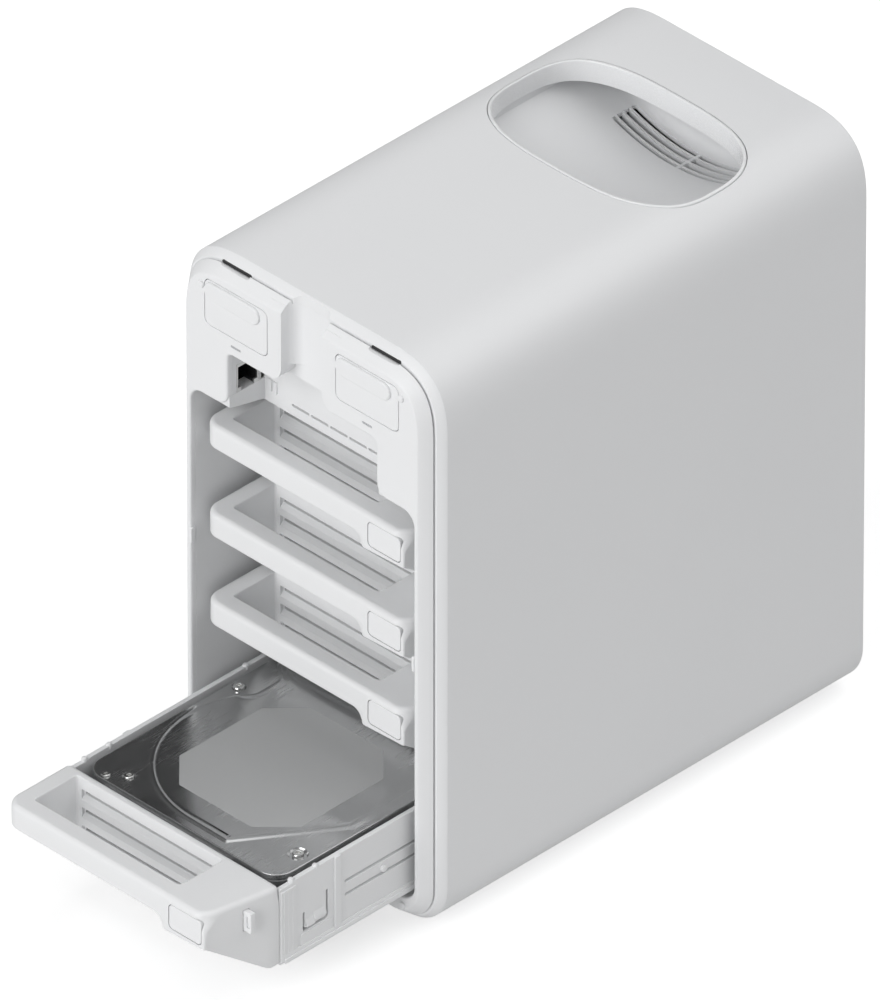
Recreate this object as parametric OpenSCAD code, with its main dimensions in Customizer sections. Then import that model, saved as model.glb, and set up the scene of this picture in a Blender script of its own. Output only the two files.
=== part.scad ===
// Four-bay network storage enclosure with slide-out drive trays.
// +X is the right-hand side, +Z is up, and the bays open towards -Y.
// The origin lies on the table, under the middle of the body.

/* [Body] */
// Width of the body across its side walls
body_w = 135; // [130:1:140]
// Height of the body above the table
body_h = 256; // [256:1:262]
// How far the shell reaches in front of the origin
shell_front = 107.4; // [105:0.1:110]
// How far the shell reaches behind the origin
shell_back = 113; // [113:1:120]
// Thickness of the shell's walls
wall = 3; // [2.5:0.1:3.5]
// Height of the rubber foot under the shell
foot_h = 2; // [1:0.5:3]
// Radius of the shell's bottom corners
bottom_r = 20; // [16:1:24]
// How far the soft top corners reach along each side
top_r = 32; // [28:1:36]
// How square the soft top corners are, 2 being round
top_power = 2.9; // [2:0.1:3.5]

/* [Front] */
// How far the front surround stands out from the shell
bevel_out = 8.7; // [8:0.1:9]
// How far the front surround tapers in on each side
bevel_in = 7.1; // [7:0.1:7.4]
// Width of the bay opening
bay_w = 117; // [116:0.5:117]
// Height of the bay opening's lower edge
bay_floor = 16; // [16:0.1:16.5]
// Height of the edge under the two port panel lobes
bay_top = 192.5; // [191:0.1:194]
// Width of the port recess between the lobes
recess_w = 78; // [76:0.5:79]
// Height of the port recess's ceiling
recess_top = 217; // [216:0.1:218]
// Depth of the port recess behind the front plane
recess_d = 19.9; // [19:0.1:21]
// Radius of the cable notch above the recess
notch_r = 10.3; // [9:0.1:11]

/* [Trays] */
// Number of drive bays
bay_count = 4; // [4:1:4]
// Height from one tray to the next
bay_pitch = 40.3; // [40:0.1:40.5]
// Height of the lowest tray's top face
first_top = 56.9; // [56.5:0.1:57.5]
// Width of a tray
tray_w = 110.8; // [110:0.1:111]
// How far the tray fronts stand behind the front plane
tray_setback = 3.1; // [2:0.1:4]
// How far the lowest tray is pulled out
tray_out = 104; // [0:1:110]
// Travel of a tray's release button
button_travel = 2.5; // [2:0.1:3]

/* [Drive] */
// Width of a drive
drive_w = 101.6; // [101.6:0.1:101.6]
// Length of a drive
drive_l = 147; // [146:0.1:147.5]
// Height of a drive
drive_h = 26.1; // [25.4:0.1:26.1]

/* [Handle] */
// Half the length of the handle opening, across the body
handle_a = 51.5; // [48:0.5:53]
// Half the width of the handle opening, along the body
handle_b = 32.5; // [30:0.5:34]
// How square the handle opening is, 2 being an ellipse
handle_power = 3; // [2:0.1:3.5]
// How far the opening's centre lies behind the origin
handle_y = 47.5; // [44:0.5:50]
// Depth of the straight collar round the opening
collar_d = 9; // [6:0.5:10]
// Radius of the bowl's hollow floor, which curves across the body
bowl_r = 82; // [75:1:90]
// Half the length of the bowl, across the body
bowl_x = 50; // [49:0.5:51]

/* [Fan] */
// Width of the square fan frame
fan_w = 120; // [120:1:120]
// Depth of the fan
fan_d = 25; // [25:0.5:25]
// Number of fan blades
blade_count = 7; // [5:1:9]

/* [Hidden] */

// Finishes
white = [0.93, 0.93, 0.94];
shell_grey = [0.80, 0.80, 0.81];
board_green = [0.08, 0.26, 0.16];
steel = [0.62, 0.63, 0.64];
cast_metal = [0.42, 0.43, 0.44];
black = [0.06, 0.06, 0.06];

// Circles whose edges stay true curves
round_fn = 64;
// Clearance between pieces that move past each other
gap = 0.3;
// Overshoot of a cut beyond the face it opens
cut = 1;

// Front planes, from the shell's lip to the tray fronts
y_lip = -shell_front;
y_front = y_lip - bevel_out;
y_tray = y_front + tray_setback;
// The seam that parts the trim ring from the bay frame
seam_w = 0.6;
y_ring = y_lip - 3.1;
y_seam = y_ring - seam_w;
plate_t = 2.8;
y_plate = y_front + plate_t;
skirt_inset = 5;
y_skirt = y_lip + 7.4;
y_recess = y_front + recess_d;
housing_t = 2.2;
// Planes just behind the surround's skirt and behind the port recess
y_cage = y_skirt + 0.2;
y_housing = y_recess + housing_t;

// Tray pieces, measured from the tray's front plane and top face
bar_h = 10.5;
bar_t = 8.3;
bezel_d = 34.1;
bezel_h = 35.7;
rear_wall_t = 3.8;
arm_w = 7.9;
block_x = 30;
block_h = 15.5;
front_corner_r = 7;
sled_h = 36.3;
sled_drop = 0.3;
sled_wall = 2;
flange_out = 1;
flange_h = 3;
sled_l = 152;
drive_drop = 1.3;
drive_set = 37;
cover_t = 1.6;
emboss_h = 1.4;
button_x0 = 31.6;
button_x1 = 48.5;
button_z0 = -13.7;
button_z1 = -3;
button_t = 3;
pocket_d = 10;
latch_y = 15.3;
latch_l = 4.7;
latch_h = 9;
latch_z = -13.4;
latch_out = 1.5;
latch_in = 3.8;
rail_t = 2;
cage_t = 1.5;
cage_roof = 184.6;
cage_back = 78;
// Places of the posts that tie the cage and the mainboard together
post_x = 42;
backplane_y = 79.6;
board_t = 1.6;
connector_gap = 0.3;
mainboard_z = 190;
fan_y = 85;
fan_z = 105;
shaft_r = 2;
shaft_gap = 0.05;

// The bowl under the handle opening, and the air window in its floor
bowl_end_z = 243;
bowl_y0 = 13;
bowl_y1 = 95;
vent_x0 = -31;
vent_x1 = 40;
vent_y0 = 77.5;
vent_y1 = 90;

// M.2 carrier, measured on its door
door_x = 34.25;
door_w = 32.5;
door_z0 = 225.4;
door_z1 = 245.5;
grip_h = 8.6;
grip_l = 29.2;
grip_out = 1.2;
carrier_z = 230;
ssd_l = 80;
ssd_w = 22;

function tray_top(n) = first_top + (bay_count - n) * bay_pitch;
function tray_pull(n) = n == bay_count ? -tray_out : 0;
function bevel_inset(y) = (y_lip - y) * bevel_in / bevel_out;
// A cosine or sine raised to a power, keeping its sign
function soft(v, p) = sign(v) * pow(abs(v), p);
// Points of a superellipse arc with half-axes a and b
function soft_arc(cx, cy, a, b, p, t0, t1, steps) =
    [for (i = [0:steps])
        let (t = t0 + (t1 - t0) * i / steps)
        [cx + a * soft(cos(t), 2 / p), cy + b * soft(sin(t), 2 / p)]];
// The body's outline in X and Z, moved in by d on every side
function outline(d) = concat(
    soft_arc(body_w / 2 - bottom_r, foot_h + bottom_r, bottom_r - d, bottom_r - d, 2, -90, 0, 10),
    soft_arc(body_w / 2 - top_r, body_h - top_r, top_r - d, top_r - d, top_power, 0, 90, 14),
    soft_arc(top_r - body_w / 2, body_h - top_r, top_r - d, top_r - d, top_power, 90, 180, 14),
    soft_arc(bottom_r - body_w / 2, foot_h + bottom_r, bottom_r - d, bottom_r - d, 2, 180, 270, 10));
// The handle opening's outline in X and Y, moved out by d
function handle_outline(d) =
    [for (i = [0:71])
        [(handle_a + d) * soft(cos(i * 5), 2 / handle_power),
            handle_y + (handle_b + d) * soft(sin(i * 5), 2 / handle_power)]];

// A prism along Y from y0 to y1 over an outline given in X and Z
module prism_y(y0, y1) {
    translate([0, y1, 0]) rotate([90, 0, 0]) linear_extrude(y1 - y0) children();
}

// A prism along X from x0 to x1 over an outline given in Y and Z
module prism_x(x0, x1) {
    translate([x0, 0, 0]) rotate([90, 0, 90]) linear_extrude(x1 - x0) children();
}

// A box between two corners
module box(a, b) {
    translate(a) cube(b - a);
}

// A plane rectangle between two corners, with round corners of radius r
module round_rect(a, b, r) {
    translate([a.x + r, a.y]) square([b.x - a.x - 2 * r, b.y - a.y]);
    translate([a.x, a.y + r]) square([b.x - a.x, b.y - a.y - 2 * r]);
    for (x = [a.x + r, b.x - r], y = [a.y + r, b.y - r])
        translate([x, y]) circle(r, $fn = round_fn);
}

// A cylinder along Y that starts at y and is l long
module rod_y(x, y, z, r, l) {
    translate([x, y, z]) rotate([-90, 0, 0]) cylinder(h = l, r = r, $fn = round_fn);
}

// The surround's bevel between two planes, as a solid
module bevel(y0, y1) {
    thin = 0.01;
    hull() {
        prism_y(y0, y0 + thin) polygon(outline(bevel_inset(y0)));
        prism_y(y1 - thin, y1) polygon(outline(bevel_inset(y1)));
    }
}

// The half-round cable notch, cut downwards through the surround's middle
module notch_cut() {
    translate([0, y_front - 2.4, recess_top - cut]) cylinder(h = body_h, r = notch_r, $fn = round_fn);
}

// ---- Enclosure ----

module outer_shell() {
    color(shell_grey) difference() {
        prism_y(y_lip, shell_back) polygon(outline(0));
        prism_y(y_lip - cut, shell_back + cut) polygon(outline(wall));
        translate([0, 0, body_h - 2 * wall]) linear_extrude(3 * wall) polygon(handle_outline(2));
        // Air slots in the floor, inside the foot
        for (i = [-2:2])
            box([i * 14 - 3, 60, -cut], [i * 14 + 3, 92, foot_h + wall + cut]);
    }
}

module shell_trim_ring() {
    color(white) difference() {
        union() {
            bevel(y_ring, y_lip);
            prism_y(y_lip, y_lip + 5) polygon(outline(wall + 0.1));
        }
        prism_y(y_ring - cut, y_lip + 5 + cut) polygon(outline(skirt_inset - 0.1));
        notch_cut();
    }
}

// The window that the trays and the port recess open through
module bay_window() {
    half = bay_w / 2;
    round_rect([-half, bay_floor], [half, bay_top], 6);
    round_rect([-recess_w / 2, bay_top - 30], [recess_w / 2, recess_top], 2);
}

module door_hole(d) {
    round_rect([door_x - door_w / 2 - d, door_z0 - d], [door_x + door_w / 2 + d, door_z1 + d], 3);
}

module bay_frame() {
    skirt_t = 2.3;
    color(white) difference() {
        union() {
            difference() {
                union() {
                    bevel(y_front, y_seam);
                    prism_y(y_seam, y_skirt) polygon(outline(skirt_inset));
                }
                prism_y(y_plate, y_skirt + cut) polygon(outline(skirt_inset + skirt_t));
            }
            // The thick web behind the cable notch
            intersection() {
                box([-14, y_plate - 0.1, recess_top], [14, y_lip + 3.4, body_h]);
                prism_y(y_plate - cut, y_skirt) polygon(outline(skirt_inset + 1));
            }
        }
        prism_y(y_front - cut, y_plate + cut) bay_window();
        prism_y(y_front - cut, y_plate + cut) door_hole(gap);
        mirror([1, 0, 0]) prism_y(y_front - cut, y_plate + cut) door_hole(gap);
        notch_cut();
        for (s = [-1, 1]) {
            // Air slots under the top seam
            box([s * 39 - 7.7, y_front + 2, body_h - 5.4], [s * 39 + 7.7, y_skirt + cut, body_h - 3.6]);
            // Status lights
            box([s * 34.3 - 2.6, y_front - cut, 220.8], [s * 34.3 + 2.6, y_plate + cut, 221.8]);
        }
    }
    // Small clips half-way up the opening
    color(white) for (s = [-1, 1])
        box([s * 58.3 - 0.6, y_front - 0.4, 122], [s * 58.3 + 0.6, y_front + 1.6, 128]);
}

// Side outline of the recess's side walls, whose lower edge falls to the back
module recess_side() {
    polygon([[y_plate, bay_top], [y_recess + housing_t, 186.3 - 0.7], [y_recess + housing_t, recess_top],
        [y_plate, recess_top]]);
}

module port_housing() {
    half = recess_w / 2;
    outer = half + housing_t;
    back = y_recess + housing_t;
    color(white) difference() {
        union() {
            prism_x(-outer, -half) recess_side();
            prism_x(half, outer) recess_side();
            box([-outer, y_recess, 186.3], [outer, back, recess_top + housing_t]);
            difference() {
                box([-outer, y_plate, recess_top], [outer, back, recess_top + housing_t]);
                box([-14, y_plate - cut, recess_top - cut], [14, y_lip + 3.4, recess_top + 3 * cut]);
            }
            // Ceilings over the bay on both sides of the recess
            for (s = [-1, 1])
                box([s * (outer + 58.2) / 2 - (58.2 - outer) / 2, y_plate, bay_top],
                    [s * (outer + 58.2) / 2 + (58.2 - outer) / 2, back, bay_top + 1.5]);
        }
        // Mouth for the network jack, then the power port
        box([-outer - cut, -111.4, 193.8], [-half + cut, -99, 209.4]);
        box([-outer - cut, -98.6, 196.4], [-half + cut, -96.4, 206]);
        // Row of air slots along the back wall's foot
        for (i = [0:6])
            box([-25 + i * 10, y_recess - cut, 190.2], [-25 + i * 10 + 9.1, back + cut, 191.3]);
    }
}

// One side wall of the drive cage with its guide rails; s is -1 for left, 1 for right
module cage_side(s) {
    x = bay_w / 2;
    color(white) mirror([s < 0 ? 1 : 0, 0, 0]) union() {
        // The part inside the front surround starts above its round corner
        box([x, y_plate, bottom_r + foot_h], [x + cage_t, y_cage, bay_top - 0.6]);
        box([x, y_cage, bay_floor], [x + cage_t, y_housing, bay_top - 0.6]);
        box([x, y_housing, bay_floor], [x + cage_t, cage_back, cage_roof]);
        for (n = [1:bay_count]) {
            foot = tray_top(n) - sled_drop - sled_h - gap;
            prism_y(y_tray + bezel_d + 2, cage_back - 4) polygon([
                [x, foot + 3], [x, foot - rail_t], [tray_w / 2 - 1.4, foot - rail_t],
                [tray_w / 2 - 1.4, foot], [tray_w / 2 + flange_out + gap, foot],
                [tray_w / 2 + flange_out + gap, foot + 3]]);
            // Catch that the latch clicks behind
            if (s > 0)
                box([x - 1.3, y_tray + latch_y - 2.2, tray_top(n) + latch_z],
                    [x, y_tray + latch_y - 0.8, tray_top(n) + latch_z + latch_h]);
        }
    }
}

module cage_left() {
    cage_side(-1);
}

module cage_right() {
    cage_side(1);
}

module cage_top() {
    half = bay_w / 2 + cage_t;
    color(steel) difference() {
        box([-half, y_housing + 0.3, cage_roof], [half, cage_back, cage_roof + cage_t]);
        for (x = [-post_x, post_x], y = [-80, 68])
            translate([x, y, cage_roof - cut]) cylinder(h = 4, r = 1.6, $fn = round_fn);
        for (i = [-4:4])
            box([i * 9 - 2.5, -50, cage_roof - cut], [i * 9 + 2.5, 40, cage_roof + 2 * cut]);
    }
}

module cage_floor() {
    half = bay_w / 2 + cage_t;
    color(steel) difference() {
        box([-half, y_cage, bay_floor - cage_t], [half, cage_back, bay_floor]);
        for (x = [-post_x, post_x], y = [-80, 68])
            translate([x, y, bay_floor - 2 * cage_t]) cylinder(h = 4, r = 1.6, $fn = round_fn);
    }
    // Posts that stand on the shell's floor
    color(steel) for (x = [-post_x, post_x], y = [-80, 68]) difference() {
        translate([x, y, foot_h + wall]) cylinder(h = bay_floor - cage_t - foot_h - wall, r = 4, $fn = round_fn);
        translate([x, y, foot_h + wall - cut]) cylinder(h = bay_floor, r = 1.6, $fn = round_fn);
    }
}

module cage_screws() {
    color(steel) for (x = [-post_x, post_x], y = [-80, 68]) {
        translate([x, y, bay_floor - 8]) cylinder(h = 8, r = 1.5, $fn = round_fn);
        translate([x, y, bay_floor]) cylinder(h = 1.4, r = 3, $fn = round_fn);
        translate([x, y, cage_roof - 1.5]) cylinder(h = mainboard_z + board_t - cage_roof + 1.5, r = 1.5, $fn = round_fn);
        translate([x, y, mainboard_z + board_t]) cylinder(h = 1.4, r = 3, $fn = round_fn);
    }
}

module rubber_foot() {
    color(black) linear_extrude(foot_h) difference() {
        round_rect([-45, -96], [45, 103], 14);
        round_rect([-39, -90], [39, 97], 8);
    }
}

// ---- Top handle ----

module handle_trim_ring() {
    // Its top follows the shell's own curve
    color(white) intersection() {
        translate([0, 0, body_h - collar_d]) linear_extrude(collar_d) difference() {
            polygon(handle_outline(1.5));
            polygon(handle_outline(0));
        }
        prism_y(0, shell_back) polygon(outline(0));
    }
}

// Height of the bowl's floor at x
function bowl_floor(x, r) = bowl_end_z + sqrt(bowl_r * bowl_r - bowl_x * bowl_x) - sqrt(r * r - x * x);
// The space under the hollow floor's arc of radius r, in X and Z, down to z
module under_arc(x0, x1, r, z) {
    steps = 40;
    polygon(concat([[x1, z], [x0, z]],
        [for (i = [0:steps])
            let (x = x0 + (x1 - x0) * i / steps)
            [x, bowl_floor(x, r)]]));
}

module handle_bowl() {
    skin = 2;
    rim_z = body_h - wall;
    lip_z = body_h - collar_d;
    color(shell_grey) difference() {
        union() {
            box([-bowl_x - skin, bowl_y0 - skin, 220], [bowl_x + skin, bowl_y1 + skin, lip_z]);
            // Flange that fits up into the shell's curved roof
            intersection() {
                box([-59.5, bowl_y0 - 6, lip_z], [59.5, bowl_y1 + 6, rim_z]);
                prism_y(0, shell_back) polygon(outline(wall + 0.1));
            }
        }
        // The hollow over the floor, then the space under it
        difference() {
            box([-bowl_x, bowl_y0, 220], [bowl_x, bowl_y1, lip_z]);
            prism_y(bowl_y0 - cut, bowl_y1 + cut) under_arc(-bowl_x - cut, bowl_x + cut, bowl_r, 210);
        }
        prism_y(bowl_y0 - 4, bowl_y1 + 4) under_arc(-bowl_x - 4, bowl_x + 4, bowl_r + skin, 210);
        translate([0, 0, lip_z - cut]) linear_extrude(collar_d) polygon(handle_outline(1.6));
        // Window for the air slots, in the floor's far part
        box([vent_x0, vent_y0, 210], [vent_x1, vent_y1, lip_z - 3]);
    }
}

module handle_louvres() {
    fin_h = 4;
    // Fins along the window, then the rib that crosses them
    color(shell_grey) union() {
        for (y = [vent_y0 + 1.6, vent_y0 + 5.4, vent_y0 + 9.2]) intersection() {
            prism_y(y, y + 1.2) difference() {
                under_arc(vent_x0, vent_x1, bowl_r, 210);
                under_arc(vent_x0 - cut, vent_x1 + cut, bowl_r + fin_h, 200);
            }
            box([vent_x0, y, 210], [vent_x1, y + 2, body_h]);
        }
        box([2.4, vent_y0, bowl_floor(0, bowl_r) - fin_h], [3.8, vent_y1, bowl_floor(0, bowl_r)]);
    }
}

// ---- Ports and lights ----

module rj45_jack() {
    x_face = -recess_w / 2 - 0.4;
    color(steel) difference() {
        box([x_face - 19, -111.2, 194], [x_face, -99.2, 209.2]);
        // Stepped mouth of the modular socket
        box([x_face - 13, -110.4, 198.4], [x_face + cut, -100, 206.4]);
        box([x_face - 13, -108.6, 196.2], [x_face + cut, -101.8, 208]);
        box([x_face - 13, -107, 194.9], [x_face + cut, -103.4, 208]);
    }
}

module usb_c_port() {
    x_face = -recess_w / 2 - 0.4;
    color(steel) difference() {
        box([x_face - 8, -98.5, 196.5], [x_face, -96.5, 205.9]);
        box([x_face - 6, -98.2, 197], [x_face + cut, -96.8, 205.4]);
    }
}

module status_light_pipes() {
    color([0.85, 0.86, 0.87]) for (s = [-1, 1])
        box([s * 34.3 - 2.5, y_front, 220.9], [s * 34.3 + 2.5, y_plate + 6, 221.7]);
}

module cover_studs() {
    color(white) for (s = [-1, 1]) {
        rod_y(s * 52.2, y_front - 0.9, 242, 1.5, 0.9);
        rod_y(s * 52.9, y_front - 0.9, 12.6, 1.5, 0.9);
    }
}

// ---- Boards and cooling ----

module backplane_board() {
    color(board_green) difference() {
        box([-54, backplane_y, 20], [54, backplane_y + board_t, 182]);
        for (n = [1:bay_count])
            box([4, backplane_y - cut, tray_top(n) - 31], [48, backplane_y + 3, tray_top(n) - 6]);
        for (x = [-50, 50], z = [24, 178])
            rod_y(x, backplane_y - cut, z, 1.6, 4);
    }
}

module sata_connectors() {
    y0 = y_tray + drive_set + drive_l + connector_gap;
    color(black) for (n = [1:bay_count]) difference() {
        box([-46, y0, tray_top(n) - 28], [-4, backplane_y, tray_top(n) - 21]);
        box([-44.5, y0 - cut, tray_top(n) - 26], [-5.5, y0 + 3.5, tray_top(n) - 23]);
    }
}

module mainboard() {
    top = mainboard_z + board_t;
    color(board_green) difference() {
        union() {
            box([-52, -90, mainboard_z], [52, 76, top]);
            // Memory, controller and power parts
            box([-40, -70, top], [-26, -58, top + 1]);
            box([-18, -72, top], [-4, -60, top + 1]);
            box([10, -74, top], [34, -50, top + 6]);
            box([36, 30, top], [48, 50, top + 9]);
            // Standoffs on the cage
            for (x = [-post_x, post_x], y = [-80, 68])
                translate([x, y, cage_roof + cage_t])
                    cylinder(h = mainboard_z - cage_roof - cage_t, r = 3, $fn = round_fn);
        }
        for (x = [-post_x, post_x], y = [-80, 68])
            translate([x, y, cage_roof]) cylinder(h = 10, r = 1.6, $fn = round_fn);
    }
}

module heatsink() {
    base = mainboard_z + board_t;
    color(steel) {
        box([-25, 0, base], [25, 50, base + 3]);
        for (i = [0:9])
            box([-25 + i * 5.4, 0, base + 3], [-25 + i * 5.4 + 1.4, 50, base + 16]);
    }
}

module m2_riser() {
    color(board_green) box([-52, -27, mainboard_z + board_t], [52, -25.4, 240]);
    color(black) for (s = [-1, 1])
        box([s * door_x - 11, -30.4, carrier_z + 1], [s * door_x + 11, -27, carrier_z + 6.5]);
}

// Two rails for each M.2 carrier, from the plate to the riser
module m2_guide_rails() {
    color(white) for (s = [-1, 1], t = [-1, 1]) {
        x = s * door_x + t * 13.8;
        difference() {
            box([x - 1.7, y_plate, carrier_z - 3], [x + 1.7, -27, carrier_z + 4.5]);
            box([s * door_x + t * 11 - 2.3, y_plate - cut, carrier_z - 0.6],
                [s * door_x + t * 11 + 2.3, -27 + cut, carrier_z + 2.6]);
        }
    }
}

module m2_tray(s) {
    x0 = door_x - door_w / 2;
    color(white) mirror([s < 0 ? 1 : 0, 0, 0]) {
        prism_y(y_front, y_plate) door_hole(0);
        // The carrier's plate
        box([door_x - 13, y_plate, carrier_z], [door_x + 13, y_plate + 2, carrier_z + 2]);
        difference() {
            box([door_x - 13, y_plate + 2, carrier_z], [door_x + 13, -31, carrier_z + 1]);
            box([door_x - 8, -100, carrier_z - cut], [door_x + 8, -40, carrier_z + 2]);
        }
    }
    // The raised grip along the door's top
    grip_x = s < 0 ? -door_x - door_w / 2 : x0;
    color(white) prism_y(y_front - grip_out, y_front)
        round_rect([grip_x + 0.3, door_z1 - grip_h], [grip_x + grip_l, door_z1], 4);
}

module m2_tray_left() {
    m2_tray(-1);
}

module m2_tray_right() {
    m2_tray(1);
}

module m2_ssd(s) {
    y0 = -31 - ssd_l;
    color(board_green) translate([s * door_x, 0, 0]) difference() {
        union() {
            box([-ssd_w / 2, y0, carrier_z + 1], [ssd_w / 2, -31, carrier_z + 1.8]);
            box([-8, y0 + 12, carrier_z + 1.8], [8, y0 + 28, carrier_z + 3]);
            box([-8, y0 + 34, carrier_z + 1.8], [8, y0 + 50, carrier_z + 3]);
            box([-6, y0 + 56, carrier_z + 1.8], [6, y0 + 68, carrier_z + 3]);
        }
        translate([0, y0, carrier_z]) cylinder(h = 4, r = 2, $fn = round_fn);
    }
}

module m2_ssd_left() {
    m2_ssd(-1);
}

module m2_ssd_right() {
    m2_ssd(1);
}

module fan_frame() {
    half = fan_w / 2;
    hub_r = 20;
    color(black) difference() {
        union() {
            difference() {
                prism_y(fan_y, fan_y + fan_d)
                    round_rect([-half, fan_z - half], [half, fan_z + half], 5);
                rod_y(0, fan_y - cut, fan_z, half - 3, fan_d + 2 * cut);
            }
            // Motor base on four struts
            rod_y(0, fan_y + fan_d - 4, fan_z, hub_r, 4);
            for (a = [45:90:315])
                translate([0, fan_y + fan_d - 3.6, fan_z]) rotate([0, a, 0]) box([hub_r - 1, 0, -2], [half - 1, 3, 2]);
        }
        rod_y(0, fan_y + 10, fan_z, shaft_r + shaft_gap, fan_d - 12);
        for (x = [-52.5, 52.5], z = [-52.5, 52.5])
            rod_y(x, fan_y - cut, fan_z + z, 2.2, fan_d + 2 * cut);
    }
}

module fan_screws() {
    color(black) for (x = [-52.5, 52.5], z = [-52.5, 52.5]) {
        rod_y(x, fan_y, fan_z + z, 1.9, fan_d);
        rod_y(x, fan_y - 1.6, fan_z + z, 3.6, 1.6);
    }
}

module fan_rotor() {
    hub_r = 19;
    tip_r = fan_w / 2 - 5;
    color(black) {
        difference() {
            rod_y(0, fan_y + 2, fan_z, hub_r, fan_d - 7);
            rod_y(0, fan_y + 4, fan_z, hub_r - 2, fan_d);
        }
        rod_y(0, fan_y + 3, fan_z, shaft_r, fan_d - 5.2);
        for (i = [0:blade_count - 1])
            translate([0, fan_y + 11, fan_z]) rotate([0, i * 360 / blade_count, 0])
                rotate([32, 0, 0]) box([hub_r - 0.6, -0.9, -13], [tip_r - 3, 0.9, 13]);
    }
}

module far_panel() {
    color(white) difference() {
        union() {
            prism_y(shell_back - 3, shell_back) polygon(outline(wall + gap));
            difference() {
                prism_y(shell_back - 8, shell_back - 3) polygon(outline(wall + gap));
                prism_y(shell_back - 9, shell_back - 2.9) polygon(outline(2 * wall));
            }
        }
        prism_y(shell_back - 1.2, shell_back + cut) round_rect([-18.3, 196.7], [18.3, 226.3], 4);
        // Air slots along the panel's foot
        for (i = [-3:3])
            box([i * 14 - 3, shell_back - 9, 12], [i * 14 + 3, shell_back + cut, 30]);
    }
}

module display_lens() {
    color(black) prism_y(shell_back - 1.2, shell_back) round_rect([-18, 197], [18, 226], 4);
}

// ---- Drive trays, drawn from their front plane and top face ----

// Places a piece of tray n
module at_tray(n) {
    translate([0, y_tray + tray_pull(n), tray_top(n)]) children();
}

// Side outline of the arms, whose underside sweeps down to the back
module arm_outline() {
    steps = 8;
    drop = bezel_h - block_h;
    polygon(concat(
        [[0, 0], [0, -block_h]],
        [for (i = [1:steps])
            let (u = i / steps)
            [5 + (bezel_d - 5) * u, -block_h - drop * pow(u, 1.15)]],
        [[bezel_d, 0]]));
}

module tray_handle(n) {
    half = tray_w / 2;
    pocket_r = 3;
    wall_y = bezel_d - rear_wall_t;
    color(white) at_tray(n) difference() {
        intersection() {
            // Plan of the bezel with round front corners
            translate([0, 0, -bezel_h]) linear_extrude(bezel_h) {
                translate([front_corner_r - half, 0]) square([tray_w - 2 * front_corner_r, bezel_d]);
                translate([-half, front_corner_r]) square([tray_w, bezel_d - front_corner_r]);
                for (s = [-1, 1])
                    translate([s * (half - front_corner_r), front_corner_r]) circle(front_corner_r, $fn = round_fn);
            }
            union() {
                box([-half, 0, -bar_h], [half, bezel_d, 0]);
                box([-half, wall_y, -bezel_h], [half, bezel_d, 0]);
                prism_x(-half, arm_w - half) intersection() {
                    arm_outline();
                    translate([bar_t, -bezel_h]) square([bezel_d, bezel_h]);
                }
                prism_x(block_x, half) arm_outline();
            }
        }
        // Finger pocket
        translate([0, 0, -bezel_h - cut]) linear_extrude(bezel_h + 2 * cut)
            round_rect([arm_w - half, bar_t], [block_x, wall_y], pocket_r);
        // Louvres in the pocket's back wall, deepest at their upper edge
        for (z = [-5.1, -13.3, -21.5, -29.7])
            prism_x(arm_w - half + 2, block_x - 5)
                polygon([[wall_y - 0.1, z], [wall_y + 1.6, z], [wall_y + 1.6, z - 1], [wall_y - 0.1, z - 4.6]]);
        for (z = [-5.1, -13.3, -21.5, -29.7])
            box([arm_w - half + 3, wall_y + 1, z - 1], [block_x - 6, bezel_d + cut, z]);
        // Pocket for the release button, its spring, and the latch
        prism_y(-cut, button_t + button_travel + 1.5)
            round_rect([button_x0 - gap, button_z0 - gap], [button_x1 + gap, button_z1 + gap], 1.5);
        rod_y((button_x0 + button_x1) / 2, 0, (button_z0 + button_z1) / 2, 3, pocket_d);
        box([half - latch_in - 2.4, latch_y - gap, latch_z - gap],
            [half + cut, latch_y + latch_l + gap, latch_z + latch_h + gap]);
    }
}

module tray_sled(n) {
    half = tray_w / 2;
    y0 = bezel_d;
    y1 = bezel_d + sled_l;
    z0 = -sled_drop - sled_h;
    ledge_z = -drive_drop - drive_h;
    color(white) at_tray(n) difference() {
        union() {
            for (s = [-1, 1]) {
                side = s * (half - sled_wall / 2);
                box([side - sled_wall / 2, y0, z0], [side + sled_wall / 2, y1, -sled_drop]);
                // Rail flange along the foot, and the ledge that carries the drive
                box([s * (half + flange_out / 2) - flange_out / 2, y0 + 2, z0],
                    [s * (half + flange_out / 2) + flange_out / 2, y1, z0 + flange_h]);
                box([s * 51.2 - 2.2, y0, ledge_z - 1.6], [s * 51.2 + 2.2, y1, ledge_z]);
                // Pins that seat in the drive's side holes
                for (y = [drive_set + 28.5, drive_set + 70, drive_set + 130])
                    translate([s * (drive_w / 2), y, ledge_z + 6.35]) rotate([0, s * 90, 0])
                        cylinder(h = half - drive_w / 2 - 1, r = 1.5, $fn = round_fn);
                // Guide bump and the rib behind the snap tongue
                translate([s * half, y0 + 53.8, -19.3]) rotate([0, s * 90, 0])
                    cylinder(h = 0.8, r = 1.5, $fn = round_fn);
            }
            // Open floor frame
            difference() {
                box([-half, y0, z0], [half, y1, z0 + 1.6]);
                box([-42, y0 + 16, z0 - cut], [42, y0 + 76, z0 + 3]);
                box([-42, y0 + 84, z0 - cut], [42, y1 - 8, z0 + 3]);
            }
        }
        for (s = [-1, 1]) {
            // Two grooves along the wall
            for (z = [-15.6, -21.4])
                box([s * half - 0.8, y0 + 34.1, z - 0.9], [s * half + 0.8, y1 - 6, z]);
            // U-shaped slit that frees the snap tongue
            prism_x(s * (half - 1) - 2, s * (half - 1) + 2) difference() {
                translate([y0 + 12.1, -27.4]) square([13.1, 13.2]);
                translate([y0 + 13.1, -26.4]) square([11.1, 14]);
            }
        }
    }
}

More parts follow.
